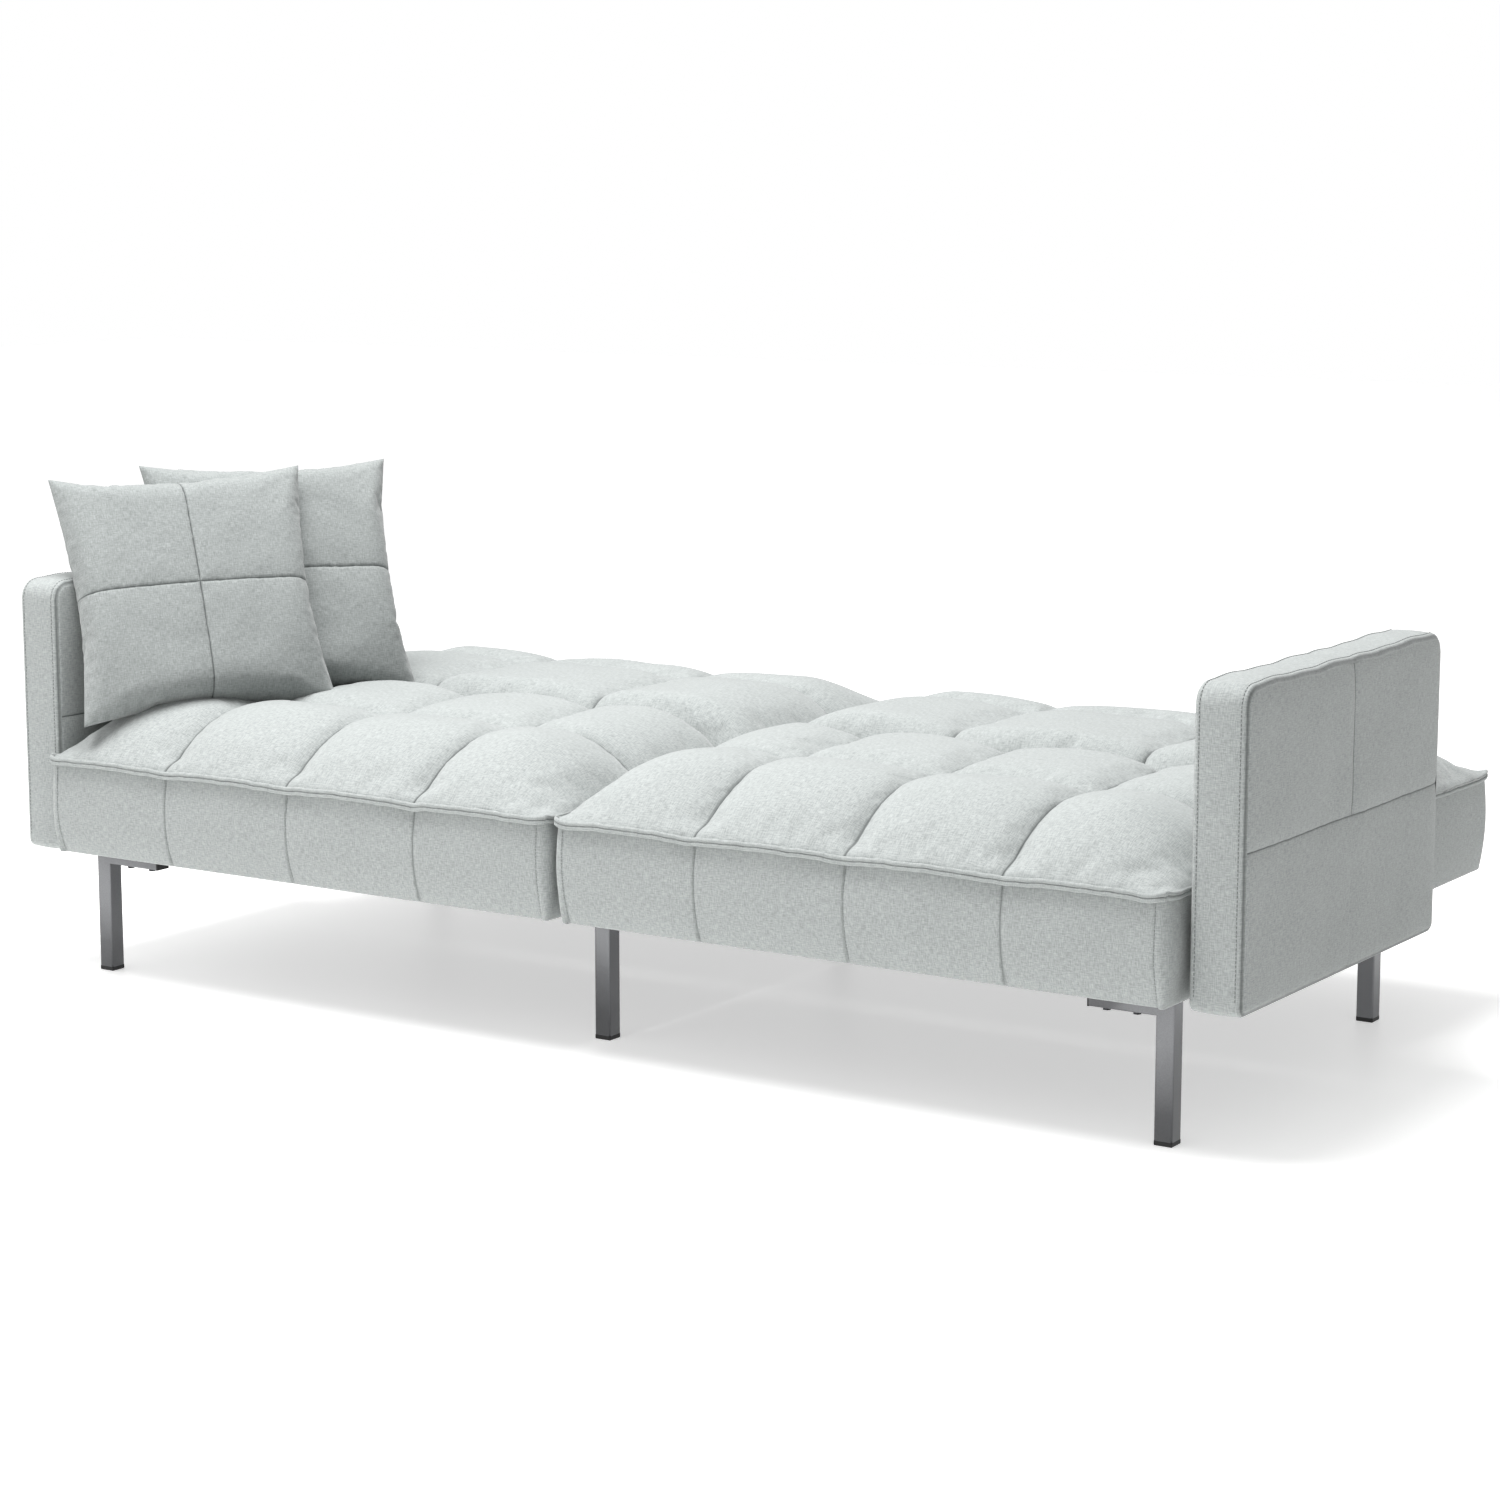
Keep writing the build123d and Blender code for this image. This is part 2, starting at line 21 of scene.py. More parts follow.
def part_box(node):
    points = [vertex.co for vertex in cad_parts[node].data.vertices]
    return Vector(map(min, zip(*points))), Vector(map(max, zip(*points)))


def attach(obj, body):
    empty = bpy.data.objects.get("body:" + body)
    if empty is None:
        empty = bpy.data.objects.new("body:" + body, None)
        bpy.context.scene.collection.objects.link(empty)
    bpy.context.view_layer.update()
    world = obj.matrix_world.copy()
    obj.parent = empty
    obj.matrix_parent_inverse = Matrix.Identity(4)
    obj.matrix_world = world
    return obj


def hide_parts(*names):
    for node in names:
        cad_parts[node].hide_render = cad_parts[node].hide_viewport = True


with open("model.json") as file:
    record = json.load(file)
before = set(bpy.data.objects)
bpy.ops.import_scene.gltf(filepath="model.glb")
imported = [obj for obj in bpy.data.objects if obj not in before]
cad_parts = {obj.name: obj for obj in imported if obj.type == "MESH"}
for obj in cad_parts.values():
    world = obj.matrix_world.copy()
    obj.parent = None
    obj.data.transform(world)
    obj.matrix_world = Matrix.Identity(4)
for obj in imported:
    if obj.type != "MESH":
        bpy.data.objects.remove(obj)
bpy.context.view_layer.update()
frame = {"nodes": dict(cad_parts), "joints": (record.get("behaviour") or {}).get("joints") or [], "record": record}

logging.basicConfig(level=logging.INFO, format="%(message)s")
LOG = logging.getLogger("futon")

Array = np.ndarray
Trio = tuple[Array, Array, Array]
Piece = bpy.types.Object
Socket = bpy.types.NodeSocket
Tree = bpy.types.NodeTree

MM = 0.001
TINY = 1e-6
FAR_AWAY = 9.0
SEED = 408
CLOTH_MAP = "cloth"
# Point attribute of painted shade in creases and seams, read by the linen material.
CREASE = "crease"

# Clearances of the upholstered blocks inside their boxes' ends and rear faces.
END_GAP = 0.001
REAR_GAP = 0.0015

# Points of the stuffed cloth along each side of a tuft, then coarse and fine spacing and reach of fine grids.
TUFT_POINTS = (33, 35)
CROWN_SPACING = (6 * MM, 1.6 * MM, 14 * MM)
PANEL_SPACING = (7 * MM, 0.9 * MM, 5 * MM)


# ---- small numeric helpers -----------------------------------------------------------------------
def smooth(t: Array) -> Array:
    """Smoothstep of t held between 0 and 1: 3 t squared minus 2 t cubed."""
    t = np.clip(t, 0.0, 1.0)
    return t * t * (3.0 - 2.0 * t)


@dataclass(frozen=True)
class Roll:
    """Rise of a rolled edge: (1 - (1 - d / reach)^power)^root, from 0 at the edge to 1 at the reach.

    Power 2 with root 0.5 is a quarter ellipse; a root of 1 is a soft slope.
    """

    reach: float
    power: float = 2.0
    root: float = 0.5

    def rise(self, distance: Array) -> Array:
        """Rise at a distance in from the edge."""
        t = 1.0 - np.clip(distance / self.reach, 0.0, 1.0)
        return np.maximum(1.0 - t**self.power, 0.0) ** self.root


SOFT_SLOPE = Roll(0.150, 1.7, 0.85)
FULL_ROLL = Roll(0.065, 2.0, 0.55)
LONG_SLOPE = Roll(0.225, 1.5, 0.95)


def foot_turn(t: Array) -> Array:
    """Share of the tuck at a share t of the border's height: ((t - 0.4) / 0.6)^2 past t = 0.4."""
    return np.clip((t - 0.4) / 0.6, 0.0, 1.0) ** 2


def graded(start: float, stop: float, marks: list[float], coarse: float, fine: float, reach: float) -> Array:
    """Positions from start to stop, close together near the marks and wide apart elsewhere.

    The density of positions is 1 / coarse, raised to 1 / fine at each mark by a bell curve; its running sum
    is divided into equal steps.

    Args:
        start: first position.
        stop: last position.
        marks: places where the spacing is fine.
        coarse: widest spacing.
        fine: closest spacing.
        reach: width of the bell curve.

    Returns:
        The positions, in order, with both ends.
    """
    line = np.linspace(start, stop, 4001)
    density = 1.0 / coarse + (1.0 / fine - 1.0 / coarse) * bell(nearest(line, marks), reach)
    total = np.concatenate([[0.0], np.cumsum((density[1:] + density[:-1]) / 2 * np.diff(line))])
    count = int(math.ceil(total[-1])) + 1
    return np.interp(np.linspace(0.0, total[-1], count), total, line)


def bell(distance: Array, width: float) -> Array:
    """Bell curve: exp(-(distance / width)^2)."""
    return np.exp(-((distance / width) ** 2))


def fade(distance: Array, width: float) -> Array:
    """Decay with distance: exp(-distance / width)."""
    return np.exp(-distance / width)


def unit(vectors: Array) -> Array:
    """Vectors along the last axis, scaled to length 1."""
    return vectors / np.maximum(np.linalg.norm(vectors, axis=-1, keepdims=True), 1e-12)


def run_along(path: Array) -> Array:
    """Distance along a path to each of its points."""
    return np.concatenate([[0.0], np.cumsum(np.linalg.norm(np.diff(path, axis=0), axis=1))])


def paired(*parts: Array) -> Array:
    """Coordinates broadcast to one shape and stacked along a new last axis."""
    return np.stack(np.broadcast_arrays(*parts), axis=-1)


def nearest(values: Array, marks: list[float]) -> Array:
    """Distance of each value from its nearest mark, or a large distance where there are no marks."""
    if not marks:
        return np.full_like(values, FAR_AWAY)
    return np.min(np.abs(values[..., None] - np.array(marks)), axis=-1)


def ripple(rng: np.random.Generator, s: Array, lengths: tuple[float, ...]) -> Array:
    """Sum of sines with random phases, one for each length, scaled to about -1..1.

    Args:
        rng: where phases and strengths come from.
        s: places along a line.
        lengths: wavelengths.

    Returns:
        The sum at each place.
    """
    total = np.zeros_like(s)
    for length in lengths:
        total += np.sin(2 * math.pi * s / length + rng.uniform(0, 2 * math.pi)) * rng.uniform(0.6, 1.0)
    return total / max(1.0, math.sqrt(len(lengths)) * 1.2)


def waves(rng: np.random.Generator, x: Array, y: Array, length: float) -> Array:
    """Soft random relief: seven plane waves in random directions, added and scaled to about -1..1.

    Args:
        rng: where directions, lengths and phases come from.
        x: places along one axis.
        y: places along the other.
        length: middle wavelength.

    Returns:
        The relief at each place.
    """
    count = 7
    total = np.zeros_like(x)
    for _ in range(count):
        angle = rng.uniform(0, math.pi)
        k = 2 * math.pi / (length * rng.uniform(0.7, 1.5))
        total += np.sin(k * (x * math.cos(angle) + y * math.sin(angle)) + rng.uniform(0, 2 * math.pi))
    return total / math.sqrt(count)


def grid_normals(points: Array) -> Array:
    """Unit normals of a grid of points: the cross product of its two directions' differences."""
    du = np.gradient(points, axis=0)
    dv = np.gradient(points, axis=1)
    return unit(np.cross(du, dv))


# ---- meshes --------------------------------------------------------------------------------------
@dataclass
class Shell:
    """Vertices, faces, cloth coordinates and painted crease shade gathered from several surfaces into one mesh."""

    name: str
    points: list[Array] = field(default_factory=list)
    faces: list[Array] = field(default_factory=list)
    coords: list[Array] = field(default_factory=list)
    creases: list[Array] = field(default_factory=list)
    count: int = 0

    def grid(
        self,
        points: Array,
        cloth: Array,
        crease: Array | None = None,
        close_u: bool = False,
        close_v: bool = False,
        flip: bool = False,
    ) -> None:
        """Add an n by m grid of points as quads, with the face turned by flip.

        Args:
            points: n x m x 3 places.
            cloth: n x m x 2 places on the flat cloth, in metres.
            crease: n x m painted shade of the creases, 0 to 1.
            close_u: join the last row to the first.
            close_v: join the last column to the first.
            flip: turn the faces round.
        """
        n, m = points.shape[:2]
        rows, columns = n if close_u else n - 1, m if close_v else m - 1
        i, j = np.meshgrid(np.arange(rows), np.arange(columns), indexing="ij")
        i2, j2 = (i + 1) % n, (j + 1) % m
        quads = np.stack([i * m + j, i2 * m + j, i2 * m + j2, i * m + j2], axis=-1).reshape(-1, 4)
        if flip:
            quads = quads[:, ::-1]
        cloth_next = cloth.reshape(-1, 2)[quads]
        wraps = (
            (close_v, (j.reshape(-1, 1) == m - 1) & (quads % m == 0), cloth.swapaxes(0, 1)),
            (close_u, (i.reshape(-1, 1) == n - 1) & (quads // m == 0), cloth),
        )
        for closed, wrapped, lines in wraps:
            if closed:
                span = lines[-1] - lines[0] + (lines[1] - lines[0])
                cloth_next = cloth_next + wrapped[..., None] * span.mean(axis=0)
        self.points.append(points.reshape(-1, 3))
        self.faces.append(quads + self.count)
        self.coords.append(cloth_next.reshape(-1, 2))
        self.creases.append(np.zeros(n * m) if crease is None else crease.reshape(-1))
        self.count += n * m

    def fan(self, loop: Array, flip: bool = False) -> None:
        """Close a flat loop of points with triangles round its middle point."""
        n = len(loop)
        ring = np.arange(n)
        centre = loop.mean(axis=0)
        points = np.vstack([loop, centre])
        tris = np.stack([ring, (ring + 1) % n, np.full(n, n)], axis=-1)
        if flip:
            tris = tris[:, ::-1]
        quads = np.concatenate([tris, np.full((n, 1), -1)], axis=1)
        self.points.append(points)
        self.faces.append(np.where(quads >= 0, quads + self.count, -1))
        self.coords.append(points[:, :2][tris].reshape(-1, 2))
        self.creases.append(np.zeros(n + 1))
        self.count += n + 1

    def build(self, merge: float = 1e-5) -> Piece:
        """Make the object, merging points closer than merge, with smooth shading.

        Args:
            merge: distance in metres.

        Returns:
            The new object, at the origin.
        """
        mesh = bpy.data.meshes.new(self.name)
        points = np.vstack(self.points)
        faces = np.vstack(self.faces)
        sizes = np.where(faces[:, 3] < 0, 3, 4)
        loops = faces[faces >= 0]
        mesh.vertices.add(len(points))
        mesh.vertices.foreach_set("co", points.astype(np.float32).ravel())
        mesh.loops.add(len(loops))
        mesh.loops.foreach_set("vertex_index", loops.astype(np.int32))
        mesh.polygons.add(len(faces))
        starts = np.concatenate([[0], np.cumsum(sizes)[:-1]])
        mesh.polygons.foreach_set("loop_start", starts.astype(np.int32))
        mesh.polygons.foreach_set("loop_total", sizes.astype(np.int32))
        layer = mesh.uv_layers.new(name=CLOTH_MAP)
        layer.data.foreach_set("uv", np.vstack(self.coords).astype(np.float32).ravel())
        attribute = mesh.attributes.new(CREASE, "FLOAT", "POINT")
        attribute.data.foreach_set("value", np.concatenate(self.creases).astype(np.float32))
        mesh.update(calc_edges=True)
        mesh.validate(clean_customdata=False)
        mesh.shade_smooth()
        piece = bpy.data.objects.new(self.name, mesh)
        bpy.context.scene.collection.objects.link(piece)
        if merge > 0:
            weld(piece, merge)
        return piece


def weld(piece: Piece, distance: float) -> None:
    """Merge a piece's vertices that are closer than distance."""
    work = bmesh.new()
    work.from_mesh(piece.data)
    bmesh.ops.remove_doubles(work, verts=work.verts, dist=distance)
    work.to_mesh(piece.data)
    work.free()
    piece.data.update()


def tube_along(shell: Shell, path: Array, radius: float, sides: int) -> None:
    """Add a round tube along a closed path: each point carries a circle across the path.

    Args:
        shell: where the tube goes.
        path: n x 3 points, nowhere upright.
        radius: tube radius.
        sides: points round the tube.
    """
    ahead = unit(np.roll(path, -1, axis=0) - np.roll(path, 1, axis=0))
    side = unit(np.cross(ahead, np.array([0.0, 0.0, 1.0])))
    rise = np.cross(side, ahead)
    angle = np.arange(sides) / sides * 2 * math.pi
    ring = side[:, None] * np.cos(angle)[None, :, None] + rise[:, None] * np.sin(angle)[None, :, None]
    cloth = paired(run_along(path)[:, None], (angle * radius)[None, :])
    shell.grid(path[:, None] + ring * radius, cloth, close_u=True, close_v=True)


@dataclass(frozen=True)
class Stuffing:
    """Cloth simulation of stuffed fabric: pressure from within, on cloth cut larger than its place.

    Attributes:
        pressure: pressure of the stuffing.
        growth: extra cloth, as a share of its length.
        cap: furthest that a point may move.
        frames: steps of the simulation.
        bending: stiffness of the cloth.
    """

    pressure: float = 4.0
    growth: float = 0.03
    cap: float = 0.012
    frames: int = 20
    bending: float = 1.5

    def fill(self, shell: Shell, pinned: Array) -> Array:
        """Simulate and give the places of the cloth's points.

        Args:
            shell: the cloth, none of whose points coincide.
            pinned: 1 for a point held in place, down to 0 for a free one.
        """
        start = np.vstack(shell.points)
        piece = shell.build(merge=0)
        held = piece.vertex_groups.new(name="held")
        for index in np.flatnonzero(pinned > 0):
            held.add([int(index)], float(pinned[index]), "REPLACE")
        cloth = piece.modifiers.new("cloth", "CLOTH")
        cloth.settings.vertex_group_mass = held.name
        cloth.settings.use_pressure = True
        cloth.settings.uniform_pressure_force = self.pressure
        cloth.settings.shrink_min = -self.growth
        cloth.settings.bending_stiffness = self.bending
        cloth.settings.effector_weights.gravity = 0.0
        cloth.settings.quality = 6
        cloth.point_cache.frame_end = self.frames
        scene = bpy.context.scene
        for number in range(1, self.frames + 1):
            scene.frame_set(number)
        graph = bpy.context.evaluated_depsgraph_get()
        result = np.empty(len(start) * 3, np.float32)
        piece.evaluated_get(graph).data.vertices.foreach_get("co", result)
        scene.frame_set(1)
        mesh = piece.data
        bpy.data.objects.remove(piece)
        bpy.data.meshes.remove(mesh)
        move = result.reshape(-1, 3) - start
        size = np.linalg.norm(move, axis=1, keepdims=True)
        return start + move * np.minimum(1.0, self.cap / np.maximum(size, 1e-9))


def spread(field_u: Array, field_v: Array, values: Array, u: Array, v: Array) -> Array:
    """Read a grid of values between its points, by straight lines first along u, then along v.

    Args:
        field_u: increasing positions of the grid's rows.
        field_v: increasing positions of its columns.
        values: len(field_u) x len(field_v) x k values.
        u: where to read them.
        v: where to read them.

    Returns:
        Values at u and v.
    """
    at_u = np.clip(np.interp(u, field_u, np.arange(len(field_u))), 0, len(field_u) - 1.001)
    at_v = np.clip(np.interp(v, field_v, np.arange(len(field_v))), 0, len(field_v) - 1.001)
    iu, iv = at_u.astype(int), at_v.astype(int)
    fu, fv = (at_u - iu)[..., None], (at_v - iv)[..., None]
    near = values[iu, iv] * (1 - fu) + values[iu + 1, iv] * fu
    far = values[iu, iv + 1] * (1 - fu) + values[iu + 1, iv + 1] * fu
    return near * (1 - fv) + far * fv


# ---- finishes ------------------------------------------------------------------------------------
def linear(hex_colour: str) -> tuple[float, float, float, float]:
    """Turn an sRGB colour such as "d2d5d4" into linear red, green, blue and alpha 1."""
    values = [int(hex_colour[i : i + 2], 16) / 255 for i in (0, 2, 4)]
    parts = [v / 12.92 if v <= 0.04045 else ((v + 0.055) / 1.055) ** 2.4 for v in values]
    return (*parts, 1.0)


def add_node(tree: Tree, kind: str, inputs: dict | None = None, **settings: object) -> bpy.types.Node:
    """Add a node, set its properties, and set or link its inputs.

    Args:
        tree: node tree of a material.
        kind: node type, such as ShaderNodeMath.
        inputs: input name or number to a value or to an output socket to link.
        settings: the node's own properties.

    Returns:
        The new node.
    """
    node = tree.nodes.new(kind)
    for key, value in settings.items():
        setattr(node, key, value)
    for key, value in (inputs or {}).items():
        if isinstance(value, Socket):
            tree.links.new(value, node.inputs[key])
        else:
            node.inputs[key].default_value = value
    return node


def ramp(tree: Tree, factor: Socket, low: float, high: float) -> Socket:
    """Map factor from low..high to 0..1, held at both ends."""
    node = add_node(tree, "ShaderNodeMapRange", {"Value": factor, "From Min": low, "From Max": high})
    return node.outputs["Result"]


def mix(tree: Tree, factor: Socket, first: Socket | tuple, second: Socket | tuple) -> Socket:
    """Mix two colours: first where factor is 0, second where it is 1."""
    node = add_node(tree, "ShaderNodeMix", {"Factor": factor, 6: first, 7: second}, data_type="RGBA")
    return node.outputs[2]


def blank_material(name: str) -> tuple[bpy.types.Material, Tree, bpy.types.Node]:
    """Make an empty node material with a Principled shader on its output."""
    material = bpy.data.materials.new(name)
    material.use_nodes = True
    tree = material.node_tree
    tree.nodes.clear()
    shader = add_node(tree, "ShaderNodeBsdfPrincipled")
    add_node(tree, "ShaderNodeOutputMaterial", {"Surface": shader.outputs["BSDF"]})
    return material, tree, shader


@dataclass(frozen=True)
class LinenLook:
    """Woven linen-look polyester: mixed slub yarns both ways, matt, with a soft sheen off the raised fibres.

    Real yarns are about 0.6 mm apart; they are drawn at yarn_mm so that the slubs show.
    """

    name: str
    pale: str
    dark: str
    # Painted shade: the seams' valleys are darkened towards this colour, by seam_shade times the crease attribute.
    seam_shadow_colour: str = "333837"
    seam_shade: float = 0.95
    yarn_mm: float = 1.25
    slub_mm: float = 9.0
    mottle_mm: float = 45.0
    mottle_share: float = 0.10
    tone_low: float = 0.78
    tone_high: float = 1.34
    relief: float = 0.35
    relief_mm: float = 0.5
    roughness: float = 0.92
    sheen: float = 0.25

    def yarns(self, tree: Tree, place: Socket, turned: bool) -> Socket:
        """Noise slub_mm long and yarn_mm wide, along the weft where turned and else along the warp."""
        across, along = 1 / (self.yarn_mm * MM), 1 / (self.slub_mm * MM)
        scale = (along, across, 1.0) if turned else (across, along, 1.0)
        mapped = add_node(tree, "ShaderNodeMapping", {"Vector": place, "Scale": scale}).outputs["Vector"]
        noise = {"Vector": mapped, "Scale": 1.0, "Detail": 2.0, "Roughness": 0.6}
        return add_node(tree, "ShaderNodeTexNoise", noise).outputs["Fac"]

    def make(self) -> bpy.types.Material:
        """Build the material on the piece's own cloth coordinates and its crease attribute of painted shade."""
        material, tree, shader = blank_material(self.name)
        place = add_node(tree, "ShaderNodeUVMap", uv_map=CLOTH_MAP).outputs["UV"]
        warp, weft = self.yarns(tree, place, False), self.yarns(tree, place, True)
        both = add_node(tree, "ShaderNodeMath", {0: warp, 1: weft}, operation="ADD").outputs[0]
        mottle = add_node(
            tree,
            "ShaderNodeTexNoise",
            {"Vector": place, "Scale": 1 / (self.mottle_mm * MM), "Detail": 3.0, "Roughness": 0.55},
        ).outputs["Fac"]
        blend = {0: mottle, 1: self.mottle_share, 2: both}
        tone = add_node(tree, "ShaderNodeMath", blend, operation="MULTIPLY_ADD").outputs[0]
        weave = ramp(tree, tone, self.tone_low, self.tone_high)
        colour = mix(tree, weave, linear(self.dark), linear(self.pale))
        # Painted shade in creases and seams: the crease attribute mixes the colour towards the seam shadow colour.
        crease = add_node(tree, "ShaderNodeAttribute", attribute_name=CREASE).outputs["Fac"]
        shade = add_node(tree, "ShaderNodeMath", {0: crease, 1: self.seam_shade}, operation="MULTIPLY")
        seam_shaded = mix(tree, shade.outputs[0], colour, linear(self.seam_shadow_colour))
        tree.links.new(seam_shaded, shader.inputs["Base Color"])
        bump = {"Height": both, "Strength": self.relief, "Distance": self.relief_mm * MM}
        tree.links.new(add_node(tree, "ShaderNodeBump", bump).outputs["Normal"], shader.inputs["Normal"])
        shader.inputs["Roughness"].default_value = self.roughness
        shader.inputs["Specular IOR Level"].default_value = 0.25
        shader.inputs["Sheen Weight"].default_value = self.sheen
        shader.inputs["Sheen Roughness"].default_value = 0.5
        return material


@dataclass(frozen=True)
class FineGrain:
    """A finish whose whole detail is a fine grain in colour, roughness and relief, on Object coordinates.

    Grain runs from colour to second; stretch scales it along each axis, and glow adds light of its own.
    """

    name: str
    colour: str
    second: str
    roughness: float
    metallic: float = 0.0
    grain_mm: float = 1.2
    stretch: tuple[float, float, float] = (1.0, 1.0, 1.0)
    relief: float = 0.1
    roughness_spread: float = 0.08
    coat: float = 0.0
    glow: float = 0.0

    def make(self) -> bpy.types.Material:
        """Build the material."""
        material, tree, shader = blank_material(self.name)
        place = add_node(tree, "ShaderNodeTexCoord").outputs["Object"]
        mapped = add_node(tree, "ShaderNodeMapping", {"Vector": place, "Scale": self.stretch})
        grain = {"Vector": mapped.outputs[0], "Scale": 1 / (self.grain_mm * MM)}
        settings = {**grain, "Detail": 4.0, "Roughness": 0.6}
        noise = add_node(tree, "ShaderNodeTexNoise", settings).outputs["Fac"]
        colour = mix(tree, ramp(tree, noise, 0.35, 0.65), linear(self.colour), linear(self.second))
        tree.links.new(colour, shader.inputs["Base Color"])
        low, high = self.roughness - self.roughness_spread, self.roughness + self.roughness_spread
        rough = add_node(tree, "ShaderNodeMapRange", {"Value": noise, "To Min": low, "To Max": high})
        tree.links.new(rough.outputs["Result"], shader.inputs["Roughness"])
        bump = {"Height": noise, "Strength": self.relief, "Distance": 0.2 * MM}
        tree.links.new(add_node(tree, "ShaderNodeBump", bump).outputs["Normal"], shader.inputs["Normal"])
        shader.inputs["Emission Color"].default_value = (1.0, 1.0, 1.0, 1.0)
        amounts = {"Metallic": self.metallic, "Coat Weight": self.coat, "Emission Strength": self.glow}
        for key, value in amounts.items():
            shader.inputs[key].default_value = value
        return material


class Finish(Enum):
    """The finishes, each made once and named for the record's material slot that it dresses."""

    UPHOLSTERY = LinenLook("upholstery_linen", pale="a6aaa9", dark="848887")
    PILLOW = LinenLook("pillow_linen", pale="969a99", dark="767a79")
    THREAD = FineGrain("thread", "6c706f", "797d7c", 0.7, grain_mm=0.8, relief=0.1)
    LINING = FineGrain("black_lining", "0c0c0d", "17181a", 0.9, grain_mm=0.8, relief=0.3)
    TUBE = FineGrain("steel_tube", "6a6b6d", "77787a", 0.42, 0.92, 0.9, relief=0.12, coat=0.15)
    PLASTIC = FineGrain("black_plastic", "0b0b0c", "131314", 0.5, grain_mm=0.7, relief=0.15)
    RUBBER = FineGrain("bumper_rubber", "0e0e0e", "181818", 0.75, grain_mm=1.5, relief=0.2)
    HINGE = FineGrain("hinge_steel", "1b1c1e", "26282a", 0.42, 0.5, 1.0, relief=0.1)
    ZINC = FineGrain("zinc_fasteners", "2c2d2f", "3a3b3d", 0.36, 1.0, 0.5, relief=0.08)
    NYLON = FineGrain("nylon_bush", "d9d6cb", "e4e1d8", 0.45, grain_mm=1.0)
    TIMBER = FineGrain("timber", "b98f5f", "d9b98a", 0.7, grain_mm=9.0, stretch=(0.08, 1.0, 1.0), relief=0.2)
    WIRE = FineGrain("spring_wire", "4d5055", "66696e", 0.35, 1.0, 0.8, relief=0.08)
    ZIP = FineGrain("zip_pull", "101011", "1d1d1f", 0.35, 0.6, 0.8, coat=0.4)

    @property
    def slot_name(self) -> str:
        """The record's material slot; sewing thread belongs to the upholstery."""
        return "upholstery_linen" if self is Finish.THREAD else self.value.name

    def material(self) -> bpy.types.Material:
        """The finish's material, made on first use under its own name."""
        name = f"look_{self.value.name}"
        if name not in bpy.data.materials:
            self.value.make().name = name
        return bpy.data.materials[name]


def dress(piece: Piece, finish: Finish, body: str, replaced: tuple[str, ...] = ()) -> Piece:
    """Give a new piece its finish and body, and hide the CAD nodes it stands for.

    Args:
        piece: the new object, in place.
        finish: its finish.
        body: CAD body it rides on.
        replaced: CAD nodes it stands for.

    Returns:
        The same object.
    """
    piece.data.materials.clear()
    piece.data.materials.append(finish.material())
    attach(piece, body)
    if replaced:
        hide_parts(*replaced)
    LOG.info("%-26s %6d faces, rides on %s", piece.name, len(piece.data.polygons), body)
    return piece


# ---- upholstered blocks --------------------------------------------------------------------------
def rounded_plan(
    along_x: Array, along_y: Array, radius: float, radius_low: float | None = None
) -> tuple[Array, Array, Array, Array]:
    """Plan grid of a rectangle whose rings have rounded corners.

    Each ring of the grid, d in from the rectangle's edge, keeps its straight sides and bends its last stretch
    into an arc of radius r = radius - 0.6 d, by an angle of 45 degrees times 1 - q / r at q from the corner.

    Args:
        along_x: grid positions along X.
        along_y: grid positions along Y.
        radius: corner radius of the outermost ring.
        radius_low: the same at the two corners of lowest Y, where it differs.

    Returns:
        X, Y of the grid, and the unbent distances in from the nearer X edge and Y edge.
    """
    x, y = np.meshgrid(along_x, along_y, indexing="ij")
    x0, x1, y0, y1 = along_x[0], along_x[-1], along_y[0], along_y[-1]
    dx, dy = np.minimum(x - x0, x1 - x), np.minimum(y - y0, y1 - y)
    d = np.minimum(dx, dy)
    q = np.maximum(dx, dy) - d
    outer = np.where((y - y0 < y1 - y) & (radius_low is not None), radius_low or 0.0, radius)
    r = np.maximum(outer - 0.6 * d, 1e-6)
    angle = math.pi / 4 * (1 - np.clip(q / r, 0, 1))
    far, near = d + r - r * np.sin(angle), d + r - r * np.cos(angle)
    bent = q < r
    new_dx = np.where(bent, np.where(dx >= dy, far, near), dx)
    new_dy = np.where(bent, np.where(dx >= dy, near, far), dy)
    sign_x = np.where(x - x0 <= x1 - x, 1.0, -1.0)
    sign_y = np.where(y - y0 <= y1 - y, 1.0, -1.0)
    edge_x = np.where(sign_x > 0, x0, x1)
    edge_y = np.where(sign_y > 0, y0, y1)
    return edge_x + sign_x * new_dx, edge_y + sign_y * new_dy, dx, dy


def ring_of(grid: Array) -> Array:
    """Outer ring of a grid, counter-clockwise from its first corner."""
    return np.concatenate([grid[:-1, 0], grid[-1, :-1], grid[:0:-1, -1], grid[0, :0:-1]])


def outward(ring: Array) -> tuple[Array, Array]:
    """Unit directions out of a counter-clockwise ring and the distance along it, in its first two axes."""
    ahead = np.roll(ring[:, :2], -1, axis=0) - np.roll(ring[:, :2], 1, axis=0)
    return unit(np.stack([ahead[:, 1], -ahead[:, 0]], axis=1)), run_along(ring[:, :2])


